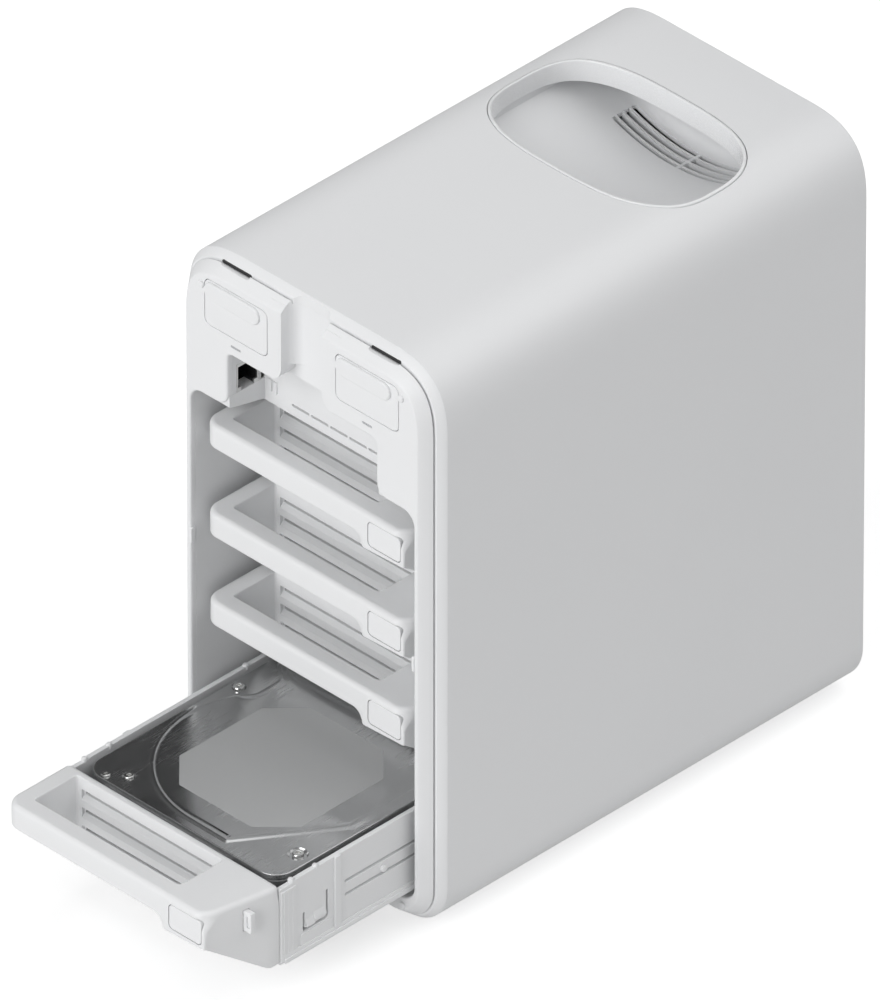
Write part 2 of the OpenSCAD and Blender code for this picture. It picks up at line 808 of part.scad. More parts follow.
module tray_button(n) {
    r = 1.5;
    cy = (button_z0 + button_z1) / 2;
    cx = (button_x0 + button_x1) / 2;
    color(white) at_tray(n) {
        prism_y(0, button_t) round_rect([button_x0, button_z0], [button_x1, button_z1], r);
        rod_y(cx, button_t, cy, 1.2, 3.8);
    }
}

// A coil spring along Y, swept as a ring of sides round a helix
module coil(r, wire, length, turns) {
    sides = 6;
    rings = 14 * turns;
    pts = [for (i = [0:rings], j = [0:sides - 1])
        let (t = 360 * turns * i / rings, a = 360 * j / sides, q = r + wire * cos(a))
        [q * cos(t), wire + (length - 2 * wire) * i / rings + wire * sin(a), q * sin(t)]];
    skin = [for (i = [0:rings - 1], j = [0:sides - 1])
        [i * sides + j, i * sides + (j + 1) % sides, (i + 1) * sides + (j + 1) % sides, (i + 1) * sides + j]];
    ends = [[for (j = [sides - 1:-1:0]) j], [for (j = [0:sides - 1]) rings * sides + j]];
    polyhedron(points = pts, faces = concat(skin, ends), convexity = 6);
}

module tray_spring(n) {
    color(steel) at_tray(n)
        translate([(button_x0 + button_x1) / 2, button_t + 0.05, (button_z0 + button_z1) / 2])
            coil(2.2, 0.3, pocket_d - button_t - 0.1, 5);
}

module tray_latch(n) {
    half = tray_w / 2;
    color(white) at_tray(n) difference() {
        box([half - latch_in, latch_y, latch_z], [half + latch_out, latch_y + latch_l, latch_z + latch_h]);
        box([half + latch_out - 0.7, latch_y + 1.5, latch_z + 2.6],
            [half + latch_out + cut, latch_y + latch_l - 1.5, latch_z + latch_h - 2.6]);
    }
}

module drive_body(n) {
    z1 = -drive_drop - emboss_h - cover_t;
    z0 = -drive_drop - drive_h;
    color(cast_metal) at_tray(n) difference() {
        box([-drive_w / 2, drive_set, z0], [drive_w / 2, drive_set + drive_l, z1]);
        // Board side of the casting and the connector's notch
        box([-drive_w / 2 + 4, drive_set + 30, z0 - cut], [drive_w / 2 - 4, drive_set + drive_l - 8, z0 + 1.2]);
        box([-46.5, drive_set + drive_l - 6, z0 - cut], [-3.5, drive_set + drive_l + cut, z0 + 7.5]);
        for (s = [-1, 1], y = [drive_set + 28.5, drive_set + 70, drive_set + 130])
            translate([s * drive_w / 2, y, z0 + 6.35]) rotate([0, -s * 90, 0])
                cylinder(h = 4, r = 1.4, $fn = round_fn);
    }
}

// Plan of the raised part of a drive's lid
module lid_plan() {
    r = 49.6;
    cy = drive_set + 53;
    intersection() {
        union() {
            translate([0, cy]) circle(r, $fn = round_fn);
            translate([-46, cy]) square([94, 70]);
        }
        translate([-49, drive_set + 3.4]) square([97, 122]);
    }
}

module drive_cover(n) {
    z0 = -drive_drop - emboss_h - cover_t;
    color(steel) at_tray(n) {
        difference() {
            box([-drive_w / 2, drive_set, z0], [drive_w / 2, drive_set + drive_l, z0 + cover_t]);
            for (p = [[-46.7, 77.1], [44.3, 17.7], [-34.9, 8.1], [44.3, 129], [-44.3, 135]])
                translate([p.x, drive_set + p.y, z0 + 0.8]) cylinder(h = 2, r = 2.4, $fn = round_fn);
        }
        translate([0, 0, z0 + cover_t]) linear_extrude(emboss_h) lid_plan();
    }
}

// ---- Pieces, one to a node ----

outer_shell();
shell_trim_ring();
bay_frame();
port_housing();
cage_left();
cage_right();
cage_top();
cage_floor();
cage_screws();
handle_bowl();
handle_trim_ring();
handle_louvres();
rj45_jack();
usb_c_port();
status_light_pipes();
cover_studs();
backplane_board();
sata_connectors();
mainboard();
heatsink();
m2_riser();
m2_guide_rails();
fan_frame();
fan_screws();
fan_rotor();
far_panel();
display_lens();
rubber_foot();
m2_tray_left();
m2_tray_right();
m2_ssd_left();
m2_ssd_right();
tray_handle(1);  // tray_1_handle
tray_sled(1);  // tray_1_sled
tray_button(1);  // tray_1_button
tray_spring(1);  // tray_1_spring
tray_latch(1);  // tray_1_latch
drive_body(1);  // drive_1_body
drive_cover(1);  // drive_1_cover
tray_handle(2);  // tray_2_handle
tray_sled(2);  // tray_2_sled
tray_button(2);  // tray_2_button
tray_spring(2);  // tray_2_spring
tray_latch(2);  // tray_2_latch
drive_body(2);  // drive_2_body
drive_cover(2);  // drive_2_cover
tray_handle(3);  // tray_3_handle
tray_sled(3);  // tray_3_sled
tray_button(3);  // tray_3_button
tray_spring(3);  // tray_3_spring
tray_latch(3);  // tray_3_latch
drive_body(3);  // drive_3_body
drive_cover(3);  // drive_3_cover
tray_handle(4);  // tray_4_handle
tray_sled(4);  // tray_4_sled
tray_button(4);  // tray_4_button
tray_spring(4);  // tray_4_spring
tray_latch(4);  // tray_4_latch
drive_body(4);  // drive_4_body
drive_cover(4);  // drive_4_cover
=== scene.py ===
"""The finished surfaces of a four-bay network storage enclosure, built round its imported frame.

Lengths in the shape functions are millimetres, in the frame's axes: +X right, +Y to the back, +Z up.
"""

import bmesh
import bpy
import numpy as np
from bpy.props import FloatProperty, FloatVectorProperty, PointerProperty
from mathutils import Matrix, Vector
from mathutils.geometry import tessellate_polygon


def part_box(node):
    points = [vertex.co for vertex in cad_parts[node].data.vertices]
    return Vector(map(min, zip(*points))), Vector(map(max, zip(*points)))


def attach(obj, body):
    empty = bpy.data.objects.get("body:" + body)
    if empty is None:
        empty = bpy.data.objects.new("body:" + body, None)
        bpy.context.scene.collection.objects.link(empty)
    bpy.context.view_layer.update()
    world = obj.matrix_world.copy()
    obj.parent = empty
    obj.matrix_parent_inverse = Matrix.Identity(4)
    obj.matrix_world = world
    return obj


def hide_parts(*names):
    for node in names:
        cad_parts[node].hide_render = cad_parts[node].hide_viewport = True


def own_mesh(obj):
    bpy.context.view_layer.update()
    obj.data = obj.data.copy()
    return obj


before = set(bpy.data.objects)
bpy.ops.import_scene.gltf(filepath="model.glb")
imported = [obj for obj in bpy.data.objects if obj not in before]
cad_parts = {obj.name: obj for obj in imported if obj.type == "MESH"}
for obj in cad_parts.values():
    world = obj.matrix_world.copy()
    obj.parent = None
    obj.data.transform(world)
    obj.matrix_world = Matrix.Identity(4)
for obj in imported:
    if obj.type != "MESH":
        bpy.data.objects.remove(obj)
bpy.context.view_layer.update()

bl_info = {
    "name": "Four-bay storage enclosure",
    "version": (1, 0, 0),
    "blender": (4, 5, 0),
    "location": "View3D > Sidebar > Enclosure",
    "description": "Finished surfaces and finishes of a four-bay network storage enclosure",
    "category": "Object",
}

MM = 0.001
IMAGE_H, POINTS_PER_MM = 1000, 2.695
AIM = (0, -0.04376, 0.1340)


def corners(node):
    """The lowest and highest corner of a frame node, in millimetres."""
    low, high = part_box(node)
    return np.array(low) / MM, np.array(high) / MM


SHELL_LOW, SHELL_HIGH = corners("outer_shell")
TRAY_BOXES = {n: corners(f"tray_{n}_handle") for n in (1, 2, 3, 4)}

# Planes along Y, from the shell's front lip to the front plane
Y_LIP = SHELL_LOW[1]
Y_BACK = SHELL_HIGH[1]
Y_FRONT = Y_LIP - 8.7
Y_RING = Y_LIP - 3.1
Y_SEAM = Y_RING - 0.6
Y_PLATE = Y_FRONT + 2.8
Y_SKIRT = Y_LIP + 7.4
Y_RECESS = Y_FRONT + 19.9
Y_HOUSING = Y_RECESS + 2.2
BEVEL_IN, BEVEL_OUT = 7.1, 8.7
WALL = 3.0
BAY_HALF, BAY_FLOOR, BAY_TOP = 58.5, 16.0, 192.5
RECESS_HALF, RECESS_TOP = 39.0, 217.0
NOTCH_BACK, NOTCH_HALF = Y_FRONT + 7.9, 10.6
HALF_W = (SHELL_HIGH[0] - SHELL_LOW[0]) / 2
Z_FOOT, Z_TOP = SHELL_LOW[2], SHELL_HIGH[2]
TOP_R, TOP_POWER, BOTTOM_R = 32.0, 2.9, 20.0
HANDLE_A, HANDLE_B, HANDLE_X, HANDLE_Y, COLLAR_D = 50.2, 31.7, 1.5, 47.5, 9.0
BOWL_R, BOWL_X, BOWL_END = 82.0, 50.0, 243.0
BOWL_Y0, BOWL_Y1 = 13.0, 95.0
VENT_X0, VENT_X1, VENT_Y0, VENT_Y1 = -31.0, 40.0, 77.5, 90.0
DOOR_X, DOOR_W, DOOR_Z0, DOOR_Z1 = 34.25, 32.5, 225.4, 245.5

# A tray's measures, from its front plane and its top face
BAR_H, BAR_T, BEZEL_D, BEZEL_H = 10.5, 8.3, 34.1, 35.7
POCKET_X0, POCKET_X1, POCKET_Y1 = -47.5, 29.0, 30.3
BLOCK_H = 16.4
TRAY_HALF = 55.4
SLED_TOP, SLED_BOTTOM, SLED_L = -1.4, -36.6, 152.0
BUTTON = (31.6, -13.7, 48.5, -3.0)
LATCH_BACK, LATCH_Z, LATCH_H = 20.0, -13.4, 9.0
DRIVE_SET, DRIVE_HALF, DRIVE_L = 37.0, 50.8, 147.0
LID_Z, LID_TOP, LID_FACE = -4.3, -1.75, -1.3
PIN_YS, PIN_Z = (28.5, 70.0, 130.0), -21.05

# The lid's screws, from the drive's front: x, y, radius of the dish, radius of the head
SCREWS = (
    (-46.7, 77.1, 3.1, 2.2), (44.3, 17.7, 4.3, 2.3), (-34.9, 8.1, 2.9, 2.0), (-41.6, 2.6, 2.2, 1.7),
    (44.3, 129, 3.1, 2.2), (-44.3, 135, 3.1, 2.2),
)


# ---- Sizes and colours a user may change ----


class EnclosureSizes(bpy.types.PropertyGroup):
    """Sizes that change the look but not the fit."""

    tray_edge: FloatProperty(
        name="Tray edge", description="Radius of a tray handle's upper edges",
        default=0.0021, min=0.0005, max=0.003, unit="LENGTH", subtype="DISTANCE",
    )
    frame_edge: FloatProperty(
        name="Frame edge", description="Radius of the front surround's openings",
        default=0.0009, min=0.0002, max=0.002, unit="LENGTH", subtype="DISTANCE",
    )
    part_edge: FloatProperty(
        name="Small edge", description="Radius of the edges of doors, buttons and rails",
        default=0.0004, min=0.0001, max=0.001, unit="LENGTH", subtype="DISTANCE",
    )
    back_edge: FloatProperty(
        name="Back edge", description="Radius of the shell's rear edge",
        default=0.0008, min=0.0005, max=0.0028, unit="LENGTH", subtype="DISTANCE",
    )
    camera_lens: FloatProperty(
        name="Lens", description="Focal length of the camera", default=1400.0, min=200.0, max=1500.0,
        unit="CAMERA",
    )


def colour(name, default, description):
    """A colour property with its default."""
    return FloatVectorProperty(
        name=name, description=description, subtype="COLOR", size=3, default=default, min=0, max=1
    )


class EnclosureColours(bpy.types.PropertyGroup):
    """Colours of the finishes."""

    shell: colour("Shell", (0.775, 0.781, 0.790), "Paint of the body's shell")
    front: colour("Front", (0.790, 0.795, 0.803), "Moulded plastic of the front surround")
    tray: colour("Trays", (0.785, 0.790, 0.797), "Moulded plastic of the trays")
    inner: colour("Inside", (0.760, 0.765, 0.772), "Moulded plastic inside the bays")
    casting: colour("Casting", (0.300, 0.303, 0.306), "Cast body of a drive")
    lid: colour("Lid", (0.600, 0.603, 0.605), "Rolled metal lid of a drive")
    label: colour("Label", (0.450, 0.455, 0.457), "Blank label on a drive's lid")
    board: colour("Board", (0.020, 0.110, 0.055), "Solder mask of the circuit boards")
    black: colour("Black plastic", (0.020, 0.020, 0.021), "Sockets, fan and display")
    rubber: colour("Rubber", (0.035, 0.035, 0.036), "Foot under the shell")


# ---- Outlines ----


def rounded(points, radii, steps=6):
    """A closed outline through the points. Each corner is an arc of its radius that touches both sides:
    its centre lies on the bisector at radius / sin(half the corner's angle)."""
    points = np.asarray(points, float)
    radii = np.broadcast_to(radii, len(points))
    out = []
    for i, r in enumerate(radii):
        p, a, b = points[i], points[i - 1] - points[i], points[(i + 1) % len(points)] - points[i]
        if r <= 0:
            out.append(p[None])
            continue
        a, b = a / np.linalg.norm(a), b / np.linalg.norm(b)
        half = np.arccos(np.clip(a @ b, -1, 1)) / 2
        centre = p + (a + b) / np.linalg.norm(a + b) * r / np.sin(half)
        start, end = p + a * r / np.tan(half) - centre, p + b * r / np.tan(half) - centre
        turn = np.pi - 2 * half
        t = np.linspace(0, 1, steps + 1)[:, None]
        out.append(centre + (start * np.sin((1 - t) * turn) + end * np.sin(t * turn)) / np.sin(turn))
    return np.concatenate(out)


def rect(x0, z0, x1, z1, r=0.0, steps=6):
    """An anticlockwise rectangle with round corners."""
    return rounded([[x0, z0], [x1, z0], [x1, z1], [x0, z1]], r, steps)


def hole(loop):
    """The same outline run clockwise, so that its left side is the material round it."""
    return loop[::-1]


def offset(loop, d):
    """The loop's points moved d to the left of its run, along the mitre of each point's two edges."""
    before, after = loop - np.roll(loop, 1, axis=0), np.roll(loop, -1, axis=0) - loop
    n0 = np.stack([-before[:, 1], before[:, 0]], 1) / np.linalg.norm(before, axis=1)[:, None]
    n1 = np.stack([-after[:, 1], after[:, 0]], 1) / np.linalg.norm(after, axis=1)[:, None]
    return loop + d * (n0 + n1) / (1 + (n0 * n1).sum(1))[:, None]


def evenly(points, count):
    """count points at equal steps of arc length along an open line."""
    run = np.concatenate([[0], np.cumsum(np.linalg.norm(np.diff(points, axis=0), axis=1))])
    at = np.linspace(0, run[-1], count)
    return np.stack([np.interp(at, run, points[:, k]) for k in range(points.shape[1])], 1)


def super_arc(cx, cy, a, b, power, t0, t1, count):
    """An arc of the superellipse |x/a|^power + |y/b|^power = 1 between two angles, in even steps."""
    t = np.radians(np.linspace(t0, t1, 721))
    c, s = np.cos(t), np.sin(t)
    x = cx + a * np.sign(c) * np.abs(c) ** (2 / power)
    y = cy + b * np.sign(s) * np.abs(s) ** (2 / power)
    return evenly(np.stack([x, y], 1), count)


def body_outline():
    """The shell's section in X and Z, anticlockwise: round bottom corners and superellipse top corners."""
    x, low, top = HALF_W - TOP_R, Z_FOOT + BOTTOM_R, Z_TOP - TOP_R
    xb = HALF_W - BOTTOM_R
    return np.concatenate([
        super_arc(xb, low, BOTTOM_R, BOTTOM_R, 2, -90, 0, 20),
        super_arc(x, top, TOP_R, TOP_R, TOP_POWER, 0, 90, 32),
        super_arc(-x, top, TOP_R, TOP_R, TOP_POWER, 90, 180, 32),
        super_arc(-xb, low, BOTTOM_R, BOTTOM_R, 2, 180, 270, 20),
    ])


def roof(x):
    """Height of the shell's top at x: the superellipse of its top corners."""
    u = np.clip((np.abs(x) - (HALF_W - TOP_R)) / TOP_R, 0, 1)
    return Z_TOP - TOP_R + TOP_R * (1 - u**TOP_POWER) ** (1 / TOP_POWER)


def handle_outline(count=144):
    """The handle opening's superellipse in X and Y, anticlockwise."""
    return super_arc(HANDLE_X, HANDLE_Y, HANDLE_A, HANDLE_B, 3, 0, 360, count + 1)[:-1]


def bowl_floor(x):
    """Height of the bowl's floor at x: an arc about an axis that runs along Y."""
    return BOWL_END + np.sqrt(BOWL_R**2 - BOWL_X**2) - np.sqrt(BOWL_R**2 - x**2)


def smooth(t):
    """The cubic step 3t^2 - 2t^3, held at 0 and 1."""
    t = np.clip(t, 0, 1)
    return t * t * (3 - 2 * t)


def quarter(r, steps=4):
    """A quarter round as rows of (inset, depth), from (r, 0) to (0, r)."""
    t = np.linspace(0, np.pi / 2, steps + 1)
    return np.stack([r * (1 - np.sin(t)), r * (1 - np.cos(t))], 1)


# ---- Meshes ----


def grid_faces(rows, cols, wrap_rows=False, wrap_cols=True):
    """The quads of a grid of points, closed on itself in either direction where asked."""
    i = np.arange(rows if wrap_rows else rows - 1)[:, None]
    j = np.arange(cols if wrap_cols else cols - 1)[None, :]
    i2, j2 = (i + 1) % rows, (j + 1) % cols
    quads = np.stack([i * cols + j, i * cols + j2, i2 * cols + j2, i2 * cols + j], -1)
    return quads.reshape(-1, 4).tolist()


def grid(rings, wrap_rows=False, caps=True):
    """A surface through rows of points that are closed rings, with a face over each end unless it wraps."""
    rings = np.asarray(rings, float)
    rows, cols = rings.shape[:2]
    faces = grid_faces(rows, cols, wrap_rows)
    if caps and not wrap_rows:
        for k in (0, rows - 1):
            faces += (np.array(tessellate_polygon([rings[k].tolist()])) + k * cols).tolist()
    return rings.reshape(-1, 3), faces


PLANES = {"xz": (0, 2, 1), "xy": (0, 1, 2), "yz": (2, 0, 1)}


def stand(points, plane):
    """Points given as (u, v, depth) placed on a plane: u and v run along its two axes."""
    return np.asarray(points)[..., list(PLANES[plane])]


def walls(loops, plane):
    """A solid between two filled faces. Each loop is carried along its own rows of (inset, depth), the
    inset measured into the material; the first and last rows are the rims of the two faces."""
    verts, faces, rims, start = [], [], ([], []), 0
    for loop, rows in loops:
        n = len(loop)
        rings = np.stack([np.column_stack([offset(loop, d), np.full(n, h)]) for d, h in rows])
        verts.append(rings.reshape(-1, 3))
        faces += [[start + v for v in face] for face in grid_faces(len(rows), n)]
        rims[0].append(start + np.arange(n))
        rims[1].append(start + (len(rows) - 1) * n + np.arange(n))
        start += len(rows) * n
    verts = np.concatenate(verts)
    for rim in rims:
        ids = np.concatenate(rim)
        faces += ids[np.array(tessellate_polygon([verts[r, :2].tolist() for r in rim]))].tolist()
    return stand(verts, plane), faces


def edge_rows(near, far, r_near, r_far):
    """Rows of (inset, depth) for a straight wall with a quarter round at each end."""
    sign, flat = np.sign(far - near), 0.06
    rows = [[r_near + flat, near]]
    rows += [[d, near + sign * h] for d, h in quarter(r_near)] if r_near > 0 else [[0, near]]
    rows += [[d, far - sign * h] for d, h in quarter(r_far)[::-1]] if r_far > 0 else [[0, far]]
    rows.append([r_far + flat, far])
    return rows


def slab(loops, near, far, r_near=0.3, r_far=0.3, plane="xz"):
    """A plate between two depths whose outline and holes all have rounded edges."""
    rows = edge_rows(near, far, r_near, r_far)
    return walls([(loop, rows) for loop in loops], plane)


def carried(profile, loop, plane="xz"):
    """A closed profile of (inset, depth) carried round a closed loop."""
    n = len(loop)
    rings = np.stack([np.column_stack([offset(loop, d), np.full(n, h)]) for d, h in profile])
    verts, faces = grid(rings, wrap_rows=True)
    return stand(verts, plane), faces


def turned(rows, centre, axis="z", count=32):
    """A solid of revolution: rows of (radius, height) turned about an axis through the centre."""
    a = np.linspace(0, 2 * np.pi, count, endpoint=False)
    rings = np.stack([np.stack([r * np.cos(a), r * np.sin(a), np.full(count, h)], 1) for r, h in rows])
    order = {"z": [0, 1, 2], "y": [0, 2, 1], "x": [2, 0, 1]}[axis]
    verts, faces = grid(rings)
    return verts[:, order] + np.asarray(centre, float), faces


def moved(part, dx=0.0, dy=0.0, dz=0.0):
    """A part's points shifted."""
    return part[0] + np.array([dx, dy, dz]), part[1]


def mirrored(part):
    """A part reflected in X; its faces are turned outwards when the piece is made."""
    return part[0] * np.array([-1.0, 1.0, 1.0]), part[1]


def joined(parts):
    """Several parts as one list of points and faces."""
    verts, faces, start = [], [], 0
    for points, polygons in parts:
        verts.append(points)
        faces += [[start + v for v in face] for face in polygons]
        start += len(points)
    return np.concatenate(verts), faces


def mesh_of(name, part):
    """A Blender mesh of a part, in metres, with its faces turned outwards."""
    mesh = bpy.data.meshes.new(name)
    mesh.from_pydata((part[0] * MM).tolist(), [], part[1])
    work = bmesh.new()
    work.from_mesh(mesh)
    bmesh.ops.recalc_face_normals(work, faces=work.faces)
    work.to_mesh(mesh)
    work.free()
    return mesh


def cut(part, cutters):
    """A part with the cutters taken away, by exact boolean."""
    body = bpy.data.objects.new("body_to_cut", mesh_of("body_to_cut", part))
    tool = bpy.data.objects.new("cutter", mesh_of("cutter", joined(cutters)))
    for ob in (body, tool):
        bpy.context.collection.objects.link(ob)
    step = body.modifiers.new("cut", "BOOLEAN")
    step.operation, step.solver, step.object, step.use_self = "DIFFERENCE", "EXACT", tool, True
    done = bpy.data.meshes.new_from_object(body.evaluated_get(bpy.context.evaluated_depsgraph_get()))
    points = np.empty(len(done.vertices) * 3, np.float32)
    done.vertices.foreach_get("co", points)
    faces = [list(p.vertices) for p in done.polygons]
    for ob in (body, tool):
        bpy.data.objects.remove(ob)
    return points.reshape(-1, 3).astype(float) / MM, faces


def piece(name, parts, material, body, replaces=(), crease=38.0):
    """A finished piece: one mesh at the origin, with smooth faces and creases over an angle, that rides
    on a body and stands for the nodes that it replaces."""
    mesh = mesh_of(name, joined(parts))
    mesh.shade_smooth()
    mesh.set_sharp_from_angle(angle=np.radians(crease))
    mesh.materials.append(material)
    ob = bpy.data.objects.new(name, mesh)
    bpy.context.collection.objects.link(ob)
    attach(ob, body)
    if replaces:
        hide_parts(*replaces)
    return ob


# ---- Finishes ----


def new_material(name):
    """A material with an empty node tree, its shader and its output."""
    mat = bpy.data.materials.new(name)
    mat.use_nodes = True
    tree = mat.node_tree
    tree.nodes.clear()
    out = tree.nodes.new("ShaderNodeOutputMaterial")
    shader = tree.nodes.new("ShaderNodeBsdfPrincipled")
    tree.links.new(shader.outputs["BSDF"], out.inputs["Surface"])
    return mat, tree, shader


def place(tree, kind, inputs=None, **settings):
    """A node with its settings; an input is a value or another node's socket."""
    node = tree.nodes.new(kind)
    for key, value in settings.items():
        setattr(node, key, value)
    for key, value in (inputs or {}).items():
        if isinstance(value, bpy.types.NodeSocket):
            tree.links.new(value, node.inputs[key])
        else:
            node.inputs[key].default_value = value
    return node


def object_coords(tree, scale=(1, 1, 1)):
    """Object coordinates, stretched."""
    coords = place(tree, "ShaderNodeTexCoord").outputs["Object"]
    return place(tree, "ShaderNodeMapping", {"Vector": coords, "Scale": scale}).outputs["Vector"]


def noise(tree, vector, scale, detail=2.0, rough=0.5):
    """Fractal noise at a scale in turns per metre."""
    node = place(
        tree, "ShaderNodeTexNoise", {"Vector": vector, "Scale": scale, "Detail": detail, "Roughness": rough}
    )
    return node.outputs["Fac"]


def tinted(tree, factor, base, spread, warm=0.0):
    """The base colour made darker and lighter by a factor's value."""
    base = np.array(base[:3])
    low = np.clip(base * (1 - spread), 0, 1)
    high = np.clip(base * (1 + spread) * np.array([1 + warm, 1, 1 - warm]), 0, 1)
    mix = place(tree, "ShaderNodeMix", {0: factor, 6: (*low, 1), 7: (*high, 1)}, data_type="RGBA")
    return mix.outputs[2]


def ranged(tree, value, low, high, out_low, out_high):
    """A value carried from one range to another."""
    node = place(
        tree, "ShaderNodeMapRange",
        {"Value": value, "From Min": low, "From Max": high, "To Min": out_low, "To Max": out_high},
    )
    return node.outputs["Result"]


def bump(tree, height, distance, strength=1.0, normal=None):
    """A bump of the given depth in metres."""
    inputs = {"Height": height, "Distance": distance, "Strength": strength}
    if normal is not None:
        inputs["Normal"] = normal
    return place(tree, "ShaderNodeBump", inputs).outputs["Normal"]


def moulded_plastic(name, base, rough=0.42, grain=0.00022, depth=0.000004, spread=0.012, specular=0.45):
    """Satin moulded plastic: a spark-eroded grain, faint flow mottling and uneven gloss."""
    mat, tree, shader = new_material(name)
    where = object_coords(tree)
    fine = noise(tree, where, 1 / grain, 1.0)
    wide = noise(tree, where, 22, 3.0)
    tree.links.new(tinted(tree, wide, base, spread), shader.inputs["Base Color"])
    tree.links.new(ranged(tree, fine, 0.3, 0.7, rough - 0.05, rough + 0.06), shader.inputs["Roughness"])
    tree.links.new(bump(tree, fine, depth, 0.6), shader.inputs["Normal"])
    shader.inputs["Specular IOR Level"].default_value = specular
    return mat


def shell_paint(name, base):
    """Fine satin paint on metal: a faint orange peel under a denser pigment speckle."""
    mat, tree, shader = new_material(name)
    where = object_coords(tree)
    peel = noise(tree, where, 900, 2.0)
    speckle = noise(tree, where, 5200, 1.0)
    wide = noise(tree, where, 9, 2.0)
    colour_now = tinted(tree, ranged(tree, wide, 0.2, 0.8, 0, 1), base, 0.010, 0.002)
    flecks = place(
        tree, "ShaderNodeMix",
        {0: ranged(tree, speckle, 0.55, 0.75, 0, 0.06), 6: colour_now, 7: (0.75, 0.75, 0.76, 1)},
        data_type="RGBA",
    )
    tree.links.new(flecks.outputs[2], shader.inputs["Base Color"])
    tree.links.new(ranged(tree, peel, 0.3, 0.7, 0.46, 0.54), shader.inputs["Roughness"])
    shader.inputs["Specular IOR Level"].default_value = 0.42
    tree.links.new(bump(tree, peel, 0.000006, 0.5), shader.inputs["Normal"])
    return mat


def rolled_metal(name, base, rough=0.26, spread=0.05, along=(1, 0.03, 1), line=2600, depth=0.0000015):
    """Bright rolled sheet: fine lines along one way, soft clouds in the gloss, and a few long scuffs."""
    mat, tree, shader = new_material(name)
    lines = noise(tree, object_coords(tree, along), line, 2.0)
    where = object_coords(tree)
    clouds = noise(tree, where, 30, 3.0)
    tree.links.new(tinted(tree, lines, base, spread), shader.inputs["Base Color"])
    gloss = place(
        tree, "ShaderNodeMath",
        {0: ranged(tree, clouds, 0.3, 0.7, rough - 0.05, rough + 0.05),
         1: ranged(tree, lines, 0.3, 0.7, -0.03, 0.03)},
        operation="ADD",
    )
    tree.links.new(gloss.outputs[0], shader.inputs["Roughness"])
    shader.inputs["Metallic"].default_value = 1.0
    tree.links.new(bump(tree, lines, depth, 0.5), shader.inputs["Normal"])
    return mat


def cast_metal(name, base):
    """Die-cast alloy: a pebbled skin with uneven grey."""
    mat, tree, shader = new_material(name)
    where = object_coords(tree)
    skin = noise(tree, where, 1500, 4.0, 0.6)
    wide = noise(tree, where, 60, 2.0)
    tree.links.new(tinted(tree, wide, base, 0.10), shader.inputs["Base Color"])
    tree.links.new(ranged(tree, skin, 0.3, 0.7, 0.38, 0.56), shader.inputs["Roughness"])
    shader.inputs["Metallic"].default_value = 0.85
    tree.links.new(bump(tree, skin, 0.00003, 0.6), shader.inputs["Normal"])
    return mat


def blank_label(name, base):
    """Foil-backed paper label without print: a short fibre grain and a satin varnish."""
    mat, tree, shader = new_material(name)
    fibre = noise(tree, object_coords(tree, (1, 0.35, 1)), 2400, 3.0)
    tree.links.new(tinted(tree, fibre, base, 0.03), shader.inputs["Base Color"])
    tree.links.new(ranged(tree, fibre, 0.3, 0.7, 0.34, 0.46), shader.inputs["Roughness"])
    shader.inputs["Metallic"].default_value = 0.10
    tree.links.new(bump(tree, fibre, 0.000008, 0.3), shader.inputs["Normal"])
    return mat


def circuit_board(name, base):
    """Solder mask over copper: straight tracks in two directions and tinned pads."""
    mat, tree, shader = new_material(name)
    where = object_coords(tree)
    cells = place(
        tree, "ShaderNodeTexBrick",
        {"Vector": where, "Scale": 90.0, "Mortar Size": 0.03, "Color1": (0.9, 0.9, 0.9, 1),
         "Color2": (0.4, 0.4, 0.4, 1), "Mortar": (0, 0, 0, 1)},
    )
    pads = place(tree, "ShaderNodeTexVoronoi", {"Vector": where, "Scale": 170.0, "Randomness": 0.7})
    pad = ranged(tree, pads.outputs["Distance"], 0.16, 0.18, 1, 0)
    mask = tinted(tree, cells.outputs["Fac"], base, 0.35)
    mixed = place(tree, "ShaderNodeMix", {0: pad, 6: mask, 7: (0.62, 0.58, 0.47, 1)}, data_type="RGBA")
    tree.links.new(mixed.outputs[2], shader.inputs["Base Color"])
    tree.links.new(ranged(tree, pad, 0, 1, 0.36, 0.25), shader.inputs["Roughness"])
    tree.links.new(pad, shader.inputs["Metallic"])
    tree.links.new(bump(tree, cells.outputs["Fac"], 0.00002, 0.5), shader.inputs["Normal"])
    return mat


def dark_glass(name, base):
    """Smoked display window: near black, with the faintest cloud, under a clear gloss."""
    mat, tree, shader = new_material(name)
    cloud = noise(tree, object_coords(tree), 40, 2.0)
    tree.links.new(tinted(tree, cloud, np.array(base) * 0.6, 0.2), shader.inputs["Base Color"])
    tree.links.new(ranged(tree, cloud, 0.3, 0.7, 0.05, 0.09), shader.inputs["Roughness"])
    shader.inputs["Coat Weight"].default_value = 0.6
    return mat


def light_pipe(name):
    """Frosted clear plastic of the status lights."""
    mat, tree, shader = new_material(name)
    frost = noise(tree, object_coords(tree), 3000, 2.0)
    tree.links.new(tinted(tree, frost, (0.55, 0.56, 0.58), 0.05), shader.inputs["Base Color"])
    tree.links.new(ranged(tree, frost, 0.3, 0.7, 0.2, 0.35), shader.inputs["Roughness"])
    shader.inputs["Transmission Weight"].default_value = 0.25
    return mat


FINISHES = {}


